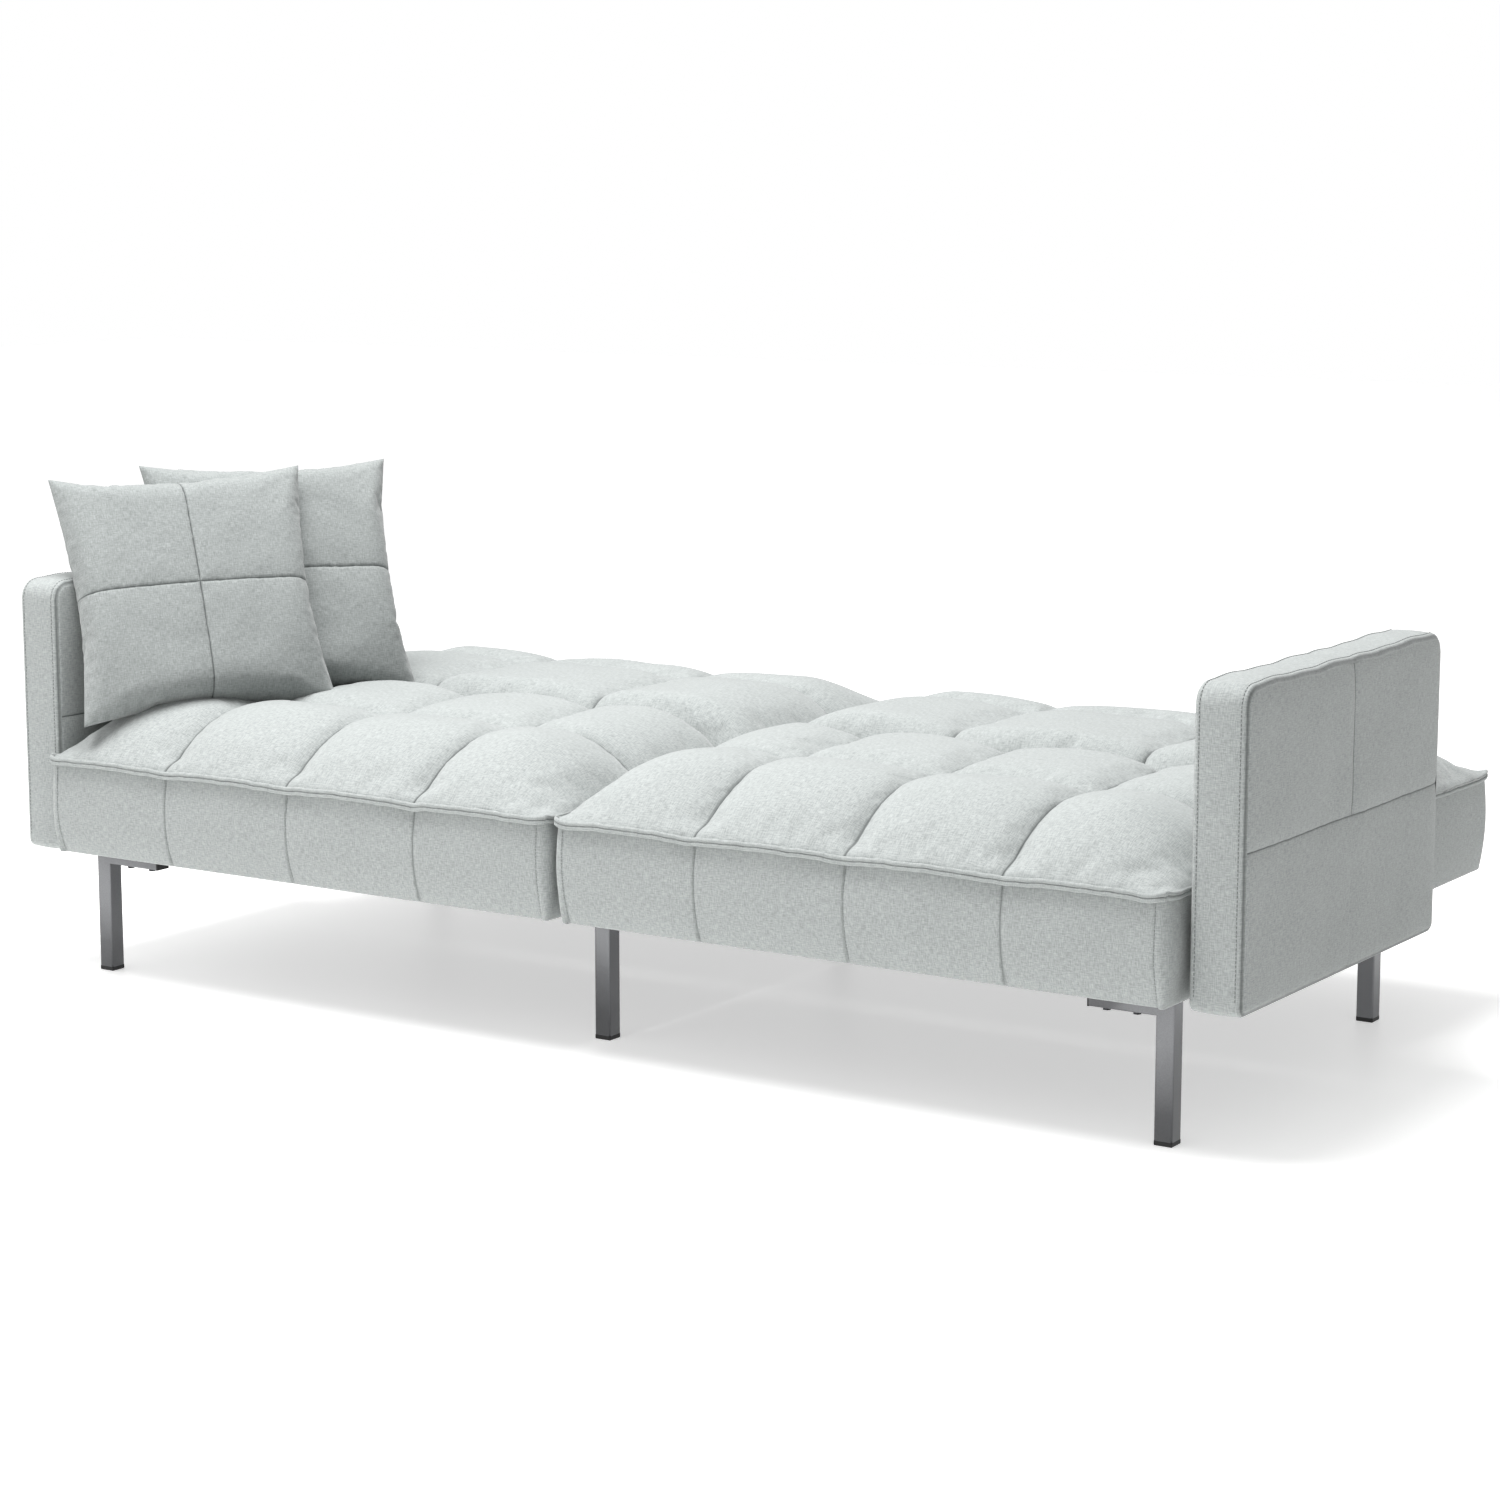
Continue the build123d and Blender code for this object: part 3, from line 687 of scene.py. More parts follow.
@dataclass
class TuftedBlock:
    """An upholstered box: tufted crown, double piping, stitched border and open underside round the frame.

    Attributes:
        node: CAD node it stands for.
        body: CAD body it rides on.
        row_seam: Y of the seam between its two rows.
        near: Y of its near side; far, low_x, high_x and bottom are its other sides.
        columns: tufts along X.
        piping_z: level of the piping.
        crest: level of the crown before its seams are sunk.
        near_roll: how the crown rises from the near side; far_roll and end_roll from the others.
        arch: how far a tuft's edge lies below its middle.
        valley: further depth close to a seam, within valley_reach.
        edge_ease: distance in from the edge over which the piping holds the crown level.
        join: power by which the two families of seams meet.
        corner: corner radius in plan.
        welt: radius of each welt.
        bulge: how far the border swells between piping and hem.
        tuck_near: how far the foot of the near side turns in; tuck_far and tuck_ends for the others.
        under_radius: rounding of the near side's foot.
        hem: width of the hem under the border.
        ceiling: level of the cloth inside, over the frame.
        wall_cloth: height of the wall below the ceiling, on the cloth.
        stuffing: simulation of the crown.
    """

    node: str
    body: str
    row_seam: float
    near: float
    far: float
    low_x: float
    high_x: float
    bottom: float
    columns: int = 4
    piping_z: float = 0.320
    crest: float = 0.406
    near_roll: Roll = SOFT_SLOPE
    far_roll: Roll = FULL_ROLL
    end_roll: Roll = Roll(0.135, 1.8, 0.75)
    arch: float = 0.0125
    valley: float = 0.0060
    valley_reach: float = 0.019
    edge_ease: float = 0.03
    join: float = 1.6
    corner: float = 0.018
    welt: float = 0.0029
    bulge: float = 0.0040
    tuck_near: float = 0.013
    tuck_far: float = 0.005
    tuck_ends: float = 0.004
    under_radius: float = 0.0
    hem: float = 0.0015
    ceiling: float = 0.234
    wall_cloth: float = 0.06
    stuffing: Stuffing = Stuffing(pressure=1.4, growth=0.020, cap=0.005)

    def __post_init__(self) -> None:
        """Seed this block's own random numbers."""
        self.rng = np.random.default_rng([SEED, *self.node.encode()])

    @property
    def xs(self) -> tuple[float, float]:
        """Lowest and highest X."""
        return self.low_x, self.high_x

    @property
    def column_seams(self) -> list[float]:
        """X of the seams between columns."""
        low, high = self.xs
        return [low + (high - low) * k / self.columns for k in range(1, self.columns)]

    def to_seams(self, x: Array, y: Array) -> tuple[Array, Array]:
        """Distances from the nearest seam between columns and from the seam between rows."""
        return nearest(x, self.column_seams), np.abs(y - self.row_seam)

    def base(self, xs: Array, ys: Array) -> Trio:
        """Crown before its cloth is stuffed: a rolled-edge box, arched between its seams.

        Height is piping height plus the rise times the product of the rolls from all four sides. Seams then
        sink the surface along its normal: by the arch times (1 - d / half)^2.2, with d the distance from the
        seam and half the half width of a tuft, plus the valley times 1 - (1 - (1 - d / reach)^2)^0.5. The two
        families of seams join as (a^join + b^join)^(1 / join).

        Args:
            xs: grid positions along X.
            ys: grid positions along Y.

        Returns:
            Points, crease shade and distance in from the edge.
        """
        x, y, dx, dy = rounded_plan(xs, ys, self.corner)
        flat_x, flat_y = np.meshgrid(xs, ys, indexing="ij")
        longs = self.near_roll.rise(flat_y - self.near) * self.far_roll.rise(self.far - flat_y)
        rise = (self.crest - self.piping_z - self.welt) * self.end_roll.rise(dx) * longs
        points = paired(x, y, self.piping_z + self.welt + rise)
        normal = grid_normals(points)
        to_column, to_row = self.to_seams(flat_x, flat_y)
        width = (self.xs[1] - self.xs[0]) / self.columns
        by_column = self.sink(to_column, width / 2) * (0.2 + 0.8 * smooth(dy / self.edge_ease))
        by_row = self.sink(to_row, (self.far - self.near) / 4) * (0.2 + 0.8 * smooth(dx / self.edge_ease))
        points -= normal * ((by_column**self.join + by_row**self.join) ** (1 / self.join))[..., None]
        to_seam = np.minimum(to_column, to_row)
        # Painted shade along the seams' valleys: a narrow dark line and a wider faint one.
        crease = bell(to_seam, 1.3 * MM) * 0.95 + fade(to_seam, 5 * MM) * 0.12
        return points, crease, np.minimum(dx, dy)

    def sink(self, distance: Array, half: float) -> Array:
        """Sink at a distance from a seam."""
        wide = np.clip(1.0 - distance / half, 0.0, 1.0) ** 2.2
        close = np.clip(1.0 - distance / self.valley_reach, 0.0, 1.0)
        return self.arch * wide + self.valley * (1.0 - np.sqrt(1.0 - close**2))

    def stuffed(self) -> Trio:
        """Moves of the crown's cloth when stuffed, on an even grid with lines along every seam."""
        low, high = self.xs
        stops_x, stops_y = [low, *self.column_seams, high], [self.near, self.row_seam, self.far]
        xs, ys = (
            np.unique(np.concatenate([np.linspace(a, b, count) for a, b in zip(stops, stops[1:])]))
            for stops, count in zip((stops_x, stops_y), TUFT_POINTS)
        )
        points, _, edge = self.base(xs, ys)
        flat_x, flat_y = np.meshgrid(xs, ys, indexing="ij")
        jitter = self.rng.normal(0, 0.25 * MM, points.shape[:2])
        points = points + grid_normals(points) * jitter[..., None]
        pinned = ((np.minimum(*self.to_seams(flat_x, flat_y)) < TINY) | (edge < TINY)).astype(float)
        shell = Shell("stuffing")
        shell.grid(points, paired(flat_x, flat_y))
        moved = self.stuffing.fill(shell, pinned.ravel()).reshape(points.shape) - points
        return xs, ys, moved

    def crown(self) -> Trio:
        """Crown surface on a grid that is fine at seams and edges, with the stuffed cloth's moves added."""
        low, high = self.xs
        xs = graded(low, high, [*self.column_seams, low, high], *CROWN_SPACING)
        ys = graded(self.near, self.far, [self.row_seam, self.near, self.far], *CROWN_SPACING)
        points, crease, edge = self.base(xs, ys)
        flat_x, flat_y = np.meshgrid(xs, ys, indexing="ij")
        points = points + spread(*self.stuffed(), flat_x, flat_y)
        points += grid_normals(points) * self.gathers(flat_x, flat_y, edge)[..., None]
        return points, paired(flat_x, flat_y), crease

    def gathers(self, x: Array, y: Array, edge: Array) -> Array:
        """Short gathers that run out from the seams and the piping.

        Args:
            x: flat X of the crown's points.
            y: flat Y of the same points.
            edge: their distance in from the edge.

        Returns:
            Rise of each point along its normal.
        """
        to_column, to_row = self.to_seams(x, y)
        from_column = ripple(self.rng, y, (0.017, 0.029, 0.047)) * fade(to_column, 0.010)
        from_row = ripple(self.rng, x, (0.016, 0.027, 0.045)) * fade(to_row, 0.010)
        along = np.where(np.abs(y - self.near) < np.abs(y - self.far), x, x + 0.4)
        from_edge = ripple(self.rng, along, (0.019, 0.033, 0.052)) * fade(edge, 0.014) * smooth(edge / 0.004)
        seams = from_column * (1 - fade(to_column, 0.002)) + from_row * (1 - fade(to_row, 0.002))
        return (seams * 0.6 * smooth(edge / 0.02) + from_edge * 0.6 + waves(self.rng, x, y, 0.15) * 0.9) * MM

    def on_long(self, flat: Array) -> Array:
        """Which points of a ring lie on a long side."""
        return nearest(flat[:, 1], [self.near, self.far]) < TINY

    def hang(self, run: Array, flat: Array) -> Array:
        """Height of the piping above its level: pulled down at every column seam, lifted at the corners."""
        low, high = self.xs
        share = ((flat[:, 0] - low) / ((high - low) / self.columns)) % 1.0
        arc = np.where(self.on_long(flat), np.abs(np.sin(math.pi * share)) ** 0.7 - 0.5, 0.0) * 4.5 * MM
        gap = np.hypot(nearest(flat[:, 0], [low, high]), nearest(flat[:, 1], [self.near, self.far]))
        ear = bell(gap, 0.016) * 4.0 * MM
        return arc + ear + ripple(self.rng, run, (0.031, 0.055, 0.083)) * 0.7 * MM

    def border(self, ring: Array, plan: Array, flat: Array, lift: Array) -> Trio:
        """Border from below the piping to the hem: it leaves the crown's ring and follows the plan's.

        Each level's ring moves out by the bulge x sin(pi t) with t the share of the height, and in by the
        tuck x ((t - 0.4) / 0.6)^2 near the hem. The near side gives way to the under radius r at h above its
        foot: r - sqrt(r^2 - (r - h)^2).

        Args:
            ring: the crown's ring of points.
            plan: the same ring before its seams were sunk, in X and Y.
            flat: the same ring's plan places before its corners were bent.
            lift: height of the piping above its level, round the ring.

        Returns:
            Points, cloth coordinates and crease shade.
        """
        top = self.piping_z - self.welt
        levels = graded(0.0, top - self.bottom, [0.0, top - self.bottom], 7 * MM, 2.5 * MM, 12 * MM)
        out, run = outward(ring)
        t = levels / levels[-1]
        z = (top - levels)[:, None] + lift[None, :] * (1 - smooth(t / 0.35))[:, None]
        on_side = np.where(out[:, 1] < 0, self.tuck_near, self.tuck_far)
        tuck = (self.tuck_ends + (on_side - self.tuck_ends) * out[:, 1] ** 8) * foot_turn(t)[:, None]
        seam_gap = self.seam_gap(flat)
        seam_closeness = bell(seam_gap, 1.3 * MM)
        pull = 1.0 * MM * fade(seam_gap, 6 * MM)
        wide_run, wide_z = np.meshgrid(run, z.mean(axis=1), indexing="xy")
        wobble = waves(self.rng, wide_run, wide_z, 0.13) * 0.9 * MM * np.sin(math.pi * t)[:, None]
        wobble += ripple(self.rng, run, (0.023, 0.041))[None, :] * fade(levels, 0.010)[:, None] * 0.5 * MM
        swell = self.bulge * (np.sin(math.pi * t) ** 0.8 - 1)
        move = swell[:, None] - tuck - seam_closeness * 0.5 * MM - pull + wobble
        share = smooth(t / 0.35)[:, None, None]
        xy = ring[None, :, :2] * (1 - share) + plan[None] * share + out[None] * move[..., None]
        if self.under_radius > 0:
            rise = np.clip(self.under_radius - (z - self.bottom), 0, self.under_radius)
            shift = self.under_radius - np.sqrt(self.under_radius**2 - rise**2)
            xy[..., 1] += shift * (self.far - xy[..., 1]) / (self.far - self.near)
        points = np.concatenate([xy, z[..., None]], axis=-1)
        # The crease shade returned here is painted shade along the border's upright seams.
        return points, paired(run[None, :], z), np.broadcast_to(seam_closeness * 0.45, z.shape)

    def seam_gap(self, flat: Array) -> Array:
        """Distance along the ring from the nearest upright seam of the border."""
        low, high = self.xs
        seams = [*self.column_seams, low + self.corner, high - self.corner]
        return np.where(self.on_long(flat), nearest(flat[:, 0], seams), FAR_AWAY)

    def underside(self, shell: Shell, loop: Array) -> None:
        """Hem turned under the frame, the inner wall round it and the ceiling over it."""
        near, far = loop[:, 1].min(), loop[:, 1].max()
        middle = np.array([np.mean(self.xs), (near + far) / 2])
        half = np.array([(self.xs[1] - self.xs[0]) / 2, (far - near) / 2])
        inner = loop.copy()
        inner[:, :2] = middle + (loop[:, :2] - middle) * (half - self.hem) / half
        inner[:, 2] += 2 * MM
        upper = inner.copy()
        upper[:, 2] = self.ceiling
        across = np.array([0.0, self.hem, self.wall_cloth])
        cloth = paired(outward(loop)[1][None, :], across[:, None])
        shell.grid(np.stack([loop, inner, upper]), cloth, close_v=True)
        shell.fan(upper, flip=True)

    def piping(self, ring: Array, lift: Array) -> Piece:
        """Two welts round the block, one above the other: proud of its long sides and flush with its ends.

        Args:
            ring: the crown's ring of points.
            lift: height of the piping above its level, round the ring.

        Returns:
            The new piece.
        """
        out, _ = outward(ring)
        shell = Shell(self.node.replace("cushion", "piping"))
        along = out[:, 1:] ** 2
        for step, jut in ((1, 0.55), (-1, 0.75)):
            path = ring.copy()
            path[:, 2] = self.piping_z + step * self.welt * 0.97 + lift
            path[:, :2] += out * self.welt * (jut * along - (1 - along))
            tube_along(shell, path, self.welt, 12)
        return shell.build(merge=0)

    def thread(self, border: Array, flat: Array) -> Piece:
        """Stitches down the border's upright seams, on both long sides.

        Args:
            border: the border's points, level by level.
            flat: the ring's plan places before its corners were bent.

        Returns:
            The new piece.
        """
        shell = Shell(self.node.replace("cushion", "stitching"))
        gap = self.seam_gap(flat)
        lows = np.flatnonzero((gap < np.roll(gap, 1)) & (gap <= np.roll(gap, -1)) & (gap < 4 * MM))
        for k in lows:
            path = border[2:-1, k]
            centre = np.array([path[0, 0], (self.near + self.far) / 2, (self.bottom + self.piping_z) / 2])
            lay_stitches(shell, path, 4.6 * MM, centre, radius=0.45 * MM)
        return shell.build(merge=0)

    def make(self) -> None:
        points, cloth, crease = self.crown()
        shell = Shell(self.node.replace("cushion", "upholstery"))
        flat = ring_of(cloth)
        lift = self.hang(outward(ring_of(points))[1], flat)
        points[..., 2] += self.carry(cloth, flat, lift)
        shell.grid(points, cloth, crease)
        ring = ring_of(points)
        x, y, _, _ = rounded_plan(cloth[:, 0, 0], cloth[0, :, 1], self.corner)
        plan = ring_of(paired(x, y))
        border, border_cloth, border_crease = self.border(ring, plan, flat, lift)
        # The groove under the piping is painted in full shade, crease 1.
        groove = np.stack([ring, border[0]])
        shell.grid(groove, np.stack([border_cloth[0]] * 2), np.ones(groove.shape[:2]), close_v=True)
        shell.grid(border, border_cloth, border_crease, close_v=True)
        self.underside(shell, border[-1])
        block = dress(shell.build(), Finish.UPHOLSTERY, self.body, (self.node,))
        dress(self.piping(ring, lift), Finish.UPHOLSTERY, self.body)
        dress(self.thread(border, flat), Finish.THREAD, self.body)

    def carry(self, cloth: Array, flat: Array, lift: Array) -> Array:
        """The ring's lift carried in over the crown from the nearest side, dying out inwards."""
        sides, gaps = [], []
        for axis, at in ((1, self.near), (1, self.far), (0, self.xs[0]), (0, self.xs[1])):
            on = np.abs(flat[:, axis] - at) < TINY
            order = np.argsort(flat[on, 1 - axis])
            sides.append(np.interp(cloth[..., 1 - axis], flat[on, 1 - axis][order], lift[on][order]))
            gaps.append(np.abs(cloth[..., axis] - at))
        side = np.argmin(gaps, axis=0)[None]
        reach = smooth(1.0 - np.min(gaps, axis=0) / self.edge_ease)
        return reach * np.take_along_axis(np.stack(sides), side, axis=0)[0]


# ---- arms ----------------------------------------------------------------------------------------
@dataclass
class PanelArm:
    """An upholstered arm: two panels joined by an edge band that is top-stitched along both sides.

    Attributes:
        side: left or right.
        sign: -1 at low X, 1 at high X.
        edge: rounding between panel and band.
        corner: radius of the upper corners, and foot_corner of the lower ones.
        swell: how far a panel stands out at its middle.
        inner_gap: clearance kept from the cushions.
        seam_z: level of the panels' level seam.
        seam_share: place of the upright seam, as a share of the arm's depth.
        stitch_in: distance of the top-stitching from the band's edges.
        stitch_pitch: distance from one stitch to the next.
    """

    side: str
    sign: int
    edge: float = 0.007
    corner: float = 0.028
    foot_corner: float = 0.006
    swell: float = 0.0035
    inner_gap: float = 0.0015
    seam_z: float = 0.376
    seam_share: float = 0.52
    stitch_in: float = 0.0080
    stitch_pitch: float = 0.0052

    def __post_init__(self) -> None:
        """Take the arm's box from the frame and seed its random numbers."""
        self.low, self.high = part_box(f"arm_pad_{self.side}")
        self.rng = np.random.default_rng([SEED, *self.side.encode()])

    @property
    def seam_y(self) -> float:
        """Y of the upright seam of the panels."""
        return self.low.y + (self.high.y - self.low.y) * self.seam_share

    def panel(self, x: float, out: int) -> Trio:
        """Grid of one panel: it swells outwards between its edges and its seams.

        The swell is its height times the quarter ellipse of the distance in from the edge, less a dip beside
        the level seam and, above it, the upright seam: dip x (1 - (1 - (1 - d / reach)^2)^0.5).

        Args:
            x: X of the panel's edge.
            out: direction along X that is outwards, 1 or -1.

        Returns:
            Points, cloth coordinates and crease shade.
        """
        low_y, high_y = self.low.y + self.edge, self.high.y - self.edge
        low_z, high_z = self.low.z + self.edge, self.high.z - self.edge
        ys = graded(low_y, high_y, [self.seam_y, low_y, high_y], *PANEL_SPACING)
        zs = graded(low_z, high_z, [self.seam_z, low_z, high_z], *PANEL_SPACING)
        y, z, dy, dz = rounded_plan(ys, zs, self.corner - self.edge, self.foot_corner)
        rise = Roll(0.05).rise(np.minimum(dy, dz)) * self.swell
        above = smooth((z - self.seam_z) / 0.004)
        below = 1.0 - smooth((z - self.seam_z + 0.02) / 0.02)
        to_level = np.abs(z - self.seam_z)
        to_upright = np.abs(y - self.seam_y)
        dips = self.dip(to_level) + self.dip(to_upright) * above + self.dip(to_upright) * below * 0.25
        drape = waves(self.rng, y, z, 0.2) * 1.1 * MM + waves(self.rng, y, z, 0.07) * 0.35 * MM
        gathers = ripple(self.rng, y, (0.022, 0.037)) * fade(to_level, 0.012) * 0.6 * MM
        level = rise + (drape + gathers) * smooth(np.minimum(dy, dz) / 0.05)
        level -= np.minimum(dips, self.swell * 1.2)
        points = paired(x + out * level, y, z + self.sag(y, z))
        # Painted shade along the level seam and, above it, the upright seam; it goes out as the crease shade.
        seam_closeness = bell(to_level, 0.8 * MM) + bell(to_upright, 0.8 * MM) * above
        return points, paired(y, z), np.clip(seam_closeness, 0, 1)

    def sag(self, y: Array, z: Array) -> Array:
        """Unevenness of the arm's top edge, which the upright seam pulls down; it fades by the level seam."""
        pull = -2.2 * MM * fade(np.abs(y - self.seam_y), 0.022)
        slack = (np.sin(2 * math.pi * y / 0.21 + 0.8) + 0.6 * np.sin(2 * math.pi * y / 0.083)) * 1.1 * MM
        return (pull + slack) * smooth((z - self.seam_z) / (self.high.z - self.seam_z))

    def dip(self, distance: Array) -> Array:
        """Dip of a panel beside one of its seams."""
        t = 1.0 - np.clip(distance / 0.03, 0.0, 1.0)
        return self.swell * 0.75 * (1.0 - np.sqrt(1.0 - t**2))

    def band(self, ring: Array, x_in: float, x_out: float) -> Trio:
        """Edge band round the panels' ring: flat across its middle, quarter round into each panel.

        Args:
            ring: the panels' ring, n x 2 in Y and Z.
            x_in: X of the inner panel's edge.
            x_out: X of the outer panel's edge.

        Returns:
            Points, cloth coordinates and crease shade.
        """
        width = abs(x_out - x_in)
        across = graded(0.0, width, [0.0, width], 8 * MM, 1.0 * MM, 9 * MM)
        from_edge = np.minimum(across, width - across)
        lift = self.edge * Roll(self.edge).rise(from_edge) + 1.2 * MM * smooth(from_edge / 0.03)
        seam = bell(from_edge - 1.6 * MM, 1.0 * MM)
        lift = lift - 1.1 * MM * seam - 0.5 * MM * bell(from_edge - self.stitch_in, 1.6 * MM)
        out, run = outward(ring)
        drape = ripple(self.rng, run, (0.09, 0.15))[None, :] * smooth(from_edge / 0.02)[:, None] * 0.5 * MM
        yz = ring[None] + out[None] * (lift[:, None] + drape)[..., None]
        x = x_in + (x_out - x_in) * across / width
        points = paired(x[:, None], yz[..., 0], yz[..., 1])
        # Painted shade in the groove between band and panel.
        crease = np.broadcast_to((seam * 0.8)[:, None], yz.shape[:2])
        return points, paired(run[None, :], across[:, None]), crease

    def stitches(self, points: Array) -> Piece:
        """Top-stitching: short thread capsules laid along the band, a little in from both its edges."""
        shell = Shell(f"arm_stitching_{self.side}")
        across = np.abs(points[:, 0, 0] - points[0, 0, 0])
        middle = np.array((self.low + self.high) / 2)
        for place in (self.stitch_in, across[-1] - self.stitch_in):
            lines = points.transpose(1, 2, 0)
            path = np.array([[np.interp(place, across, line) for line in station] for station in lines])
            path = path[path[:, 2] > self.low.z + 0.012]
            start = int(np.argmax(np.linalg.norm(np.diff(path, axis=0, append=path[:1]), axis=1))) + 1
            lay_stitches(shell, np.roll(path, -start, axis=0), self.stitch_pitch, middle)
        return shell.build(merge=0)

    def make(self) -> None:
        """Build the arm and its stitching."""
        inner, outer = (self.high.x, self.low.x) if self.sign < 0 else (self.low.x, self.high.x)
        x_in, x_out = inner + self.sign * (self.swell + self.inner_gap), outer - self.sign * self.swell
        shell = Shell(f"arm_upholstery_{self.side}")
        first, cloth, crease = self.panel(x_in, -self.sign)
        shell.grid(first, cloth, crease, flip=self.sign > 0)
        second, cloth, crease = self.panel(x_out, self.sign)
        shell.grid(second, cloth, crease, flip=self.sign < 0)
        points, cloth, crease = self.band(ring_of(first)[:, 1:], x_in, x_out)
        shell.grid(points, cloth, crease, close_v=True, flip=self.sign > 0)
        arm = dress(shell.build(), Finish.UPHOLSTERY, "chassis", (f"arm_pad_{self.side}",))
        dress(self.stitches(points), Finish.THREAD, "chassis")


def lay_stitches(shell: Shell, path: Array, pitch: float, centre: Array, radius: float = 0.0006) -> None:
    """Lay a row of stitches along a path: each is a six-sided capsule a little longer than half the pitch.

    Args:
        shell: where they go.
        path: n x 3 points on the cloth.
        pitch: distance from one stitch to the next.
        centre: a point inside the piece, which gives the outward side.
        radius: thread radius.
    """
    run = run_along(path)
    places = np.arange(pitch, run[-1] - pitch, pitch)
    mids, ends = (
        np.stack([np.interp(at, run, path[:, axis]) for axis in range(3)], axis=1)
        for at in (places, places + pitch * 0.3)
    )
    ahead = unit(ends - mids)
    rise = mids - centre
    rise = unit(rise - ahead * np.sum(rise * ahead, axis=1, keepdims=True))
    flank = np.cross(rise, ahead)
    angle = np.arange(6) / 6 * 2 * math.pi
    stations = np.array([-0.33, -0.26, 0.26, 0.33]) * pitch
    girth = np.array([0.25, 1.0, 1.0, 0.25]) * radius
    for mid, fore, wide, up in zip(mids, ahead, flank, rise):
        spine = mid + up * radius * 0.5 + fore * stations[:, None]
        ring = wide * np.cos(angle)[:, None] - up * np.sin(angle)[:, None]
        points = spine[:, None] + ring[None] * girth[:, None, None]
        shell.grid(points, np.zeros((*points.shape[:2], 2)), close_v=True)
        shell.fan(points[0], flip=True)
        shell.fan(points[-1])


# ---- loose pillows -------------------------------------------------------------------------------
@dataclass
class LoosePillow:
    """A square stuffed pillow with cross seams and pointed ears, leaning in its own plane.

    Attributes:
        name: front or rear.
        shift: move from the middle of its CAD box.
        turn: turn in its own plane, in radians.
        size: length of a side.
        thickness: thickness at its middle.
        points_across: points of the simulated cloth along a side.
        stuffing: simulation of the pillow.
    """

    name: str
    shift: tuple[float, float, float]
    turn: float = 0.0
    size: float = 0.380
    thickness: float = 0.115
    points_across: int = 81
    stuffing: Stuffing = Stuffing(pressure=2.2, growth=0.05, cap=0.050, frames=20, bending=0.6)

    def __post_init__(self) -> None:
        """Find the pillow's plane from its joint, whose axis points up the pillow."""
        joint = next(j for j in frame["joints"] if j["name"] == f"pillow_{self.name}_lift")
        up = np.array(joint["axis"], float)
        level = np.array([-up[0], -up[1], 0.0])
        level /= np.linalg.norm(level)
        across = np.array([-level[1], level[0], 0.0])
        self.face = np.cross(across, up)
        self.across = across * math.cos(self.turn) + up * math.sin(self.turn)
        self.up = up * math.cos(self.turn) - across * math.sin(self.turn)
        low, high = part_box(f"pillow_{self.name}")
        self.centre = np.array((low + high) / 2) + np.array(self.shift)
        self.rng = np.random.default_rng([SEED, *self.name.encode()])

    def flat(self) -> tuple[Array, Array]:
        """Both faces in the pillow's plane before stuffing, and the shared square grid they come from.

        With u and v from -1 to 1, the sides are cut in by 3 percent x (1 - v^2), and the faces stand apart by
        a fifth of the thickness x ((1 - u^2)(1 - v^2))^0.5.
        """
        t = np.linspace(-1.0, 1.0, self.points_across)
        u, v = np.meshgrid(t, t, indexing="ij")
        x = u * (1.0 - 0.03 * (1.0 - v * v)) * self.size / 2
        y = v * (1.0 - 0.03 * (1.0 - u * u)) * self.size / 2
        height = self.thickness * 0.2 * ((1 - u * u) * (1 - v * v)) ** 0.5
        height += np.abs(self.rng.normal(0, 0.3 * MM, u.shape)) * (height > 0)
        return np.stack([paired(x, y, sign * height) for sign in (1, -1)]), paired(u, v) * self.size / 2

    def stuffed(self) -> Array:
        """Both faces after stuffing, their rims sewn together, as 2 x n x n x 3 places."""
        both, square = self.flat()
        n = self.points_across
        rim = np.zeros((n, n), bool)
        rim[[0, -1], :] = rim[:, [0, -1]] = True
        index = np.arange(2 * n * n).reshape(2, n, n)
        index[1][rim] = index[0][rim]
        used, flat_index = np.unique(index, return_inverse=True)
        flat_index = flat_index.reshape(index.shape)
        shell = Shell("stuffing")
        shell.points.append(both.reshape(-1, 3)[used])
        shell.creases.append(np.zeros(len(used)))
        for face, flip in zip(flat_index, (False, True)):
            quad = paired(face[:-1, :-1], face[1:, :-1], face[1:, 1:], face[:-1, 1:]).reshape(-1, 4)
            shell.faces.append(quad[:, ::-1] if flip else quad)
            shell.coords.append(np.zeros((quad.size, 2)))
        result = self.stuffing.fill(shell, np.zeros(len(used)))
        result -= result.mean(axis=0)
        result[:, 2] *= self.thickness / np.ptp(result[:, 2])
        result[:, :2] *= self.size / max(np.ptp(result[:, 0]), np.ptp(result[:, 1]))
        return result[flat_index]

    def make(self) -> None:
        """Stuff the pillow, sew its cross seams and lean it in place."""
        line = np.linspace(-1, 1, self.points_across) * self.size / 2
        fine = graded(line[0], line[-1], [0.0, line[0], line[-1]], 3.5 * MM, 0.9 * MM, 5 * MM)
        u, v = np.meshgrid(fine, fine, indexing="ij")
        seam = np.minimum(np.abs(u), np.abs(v))
        edge = self.size / 2 - np.maximum(np.abs(u), np.abs(v))
        shell = Shell(f"pillow_cover_{self.name}")
        for sign, face in zip((1, -1), self.stuffed()):
            points = spread(line, line, face, u, v)
            normal = grid_normals(points) * sign
            inside = smooth(edge / 0.03)
            dip = (1.6 * MM * bell(seam, 0.0022) + 3.0 * MM * fade(seam, 0.018)) * inside
            gathers = ripple(self.rng, u, (0.017, 0.028)) + ripple(self.rng, v, (0.019, 0.031))
            puff = gathers * fade(edge, 0.016) * smooth(edge / 0.006) * 0.9 * MM
            points = points + normal * (puff - dip)[..., None]
            placed = self.centre + points @ np.stack([self.across, self.up, self.face])
            # Painted shade along the sunk cross seams.
            shell.grid(placed, paired(u, v), bell(seam, 0.9 * MM), flip=sign < 0)
        cover = dress(shell.build(), Finish.PILLOW, f"pillow_{self.name}", (f"pillow_{self.name}",))


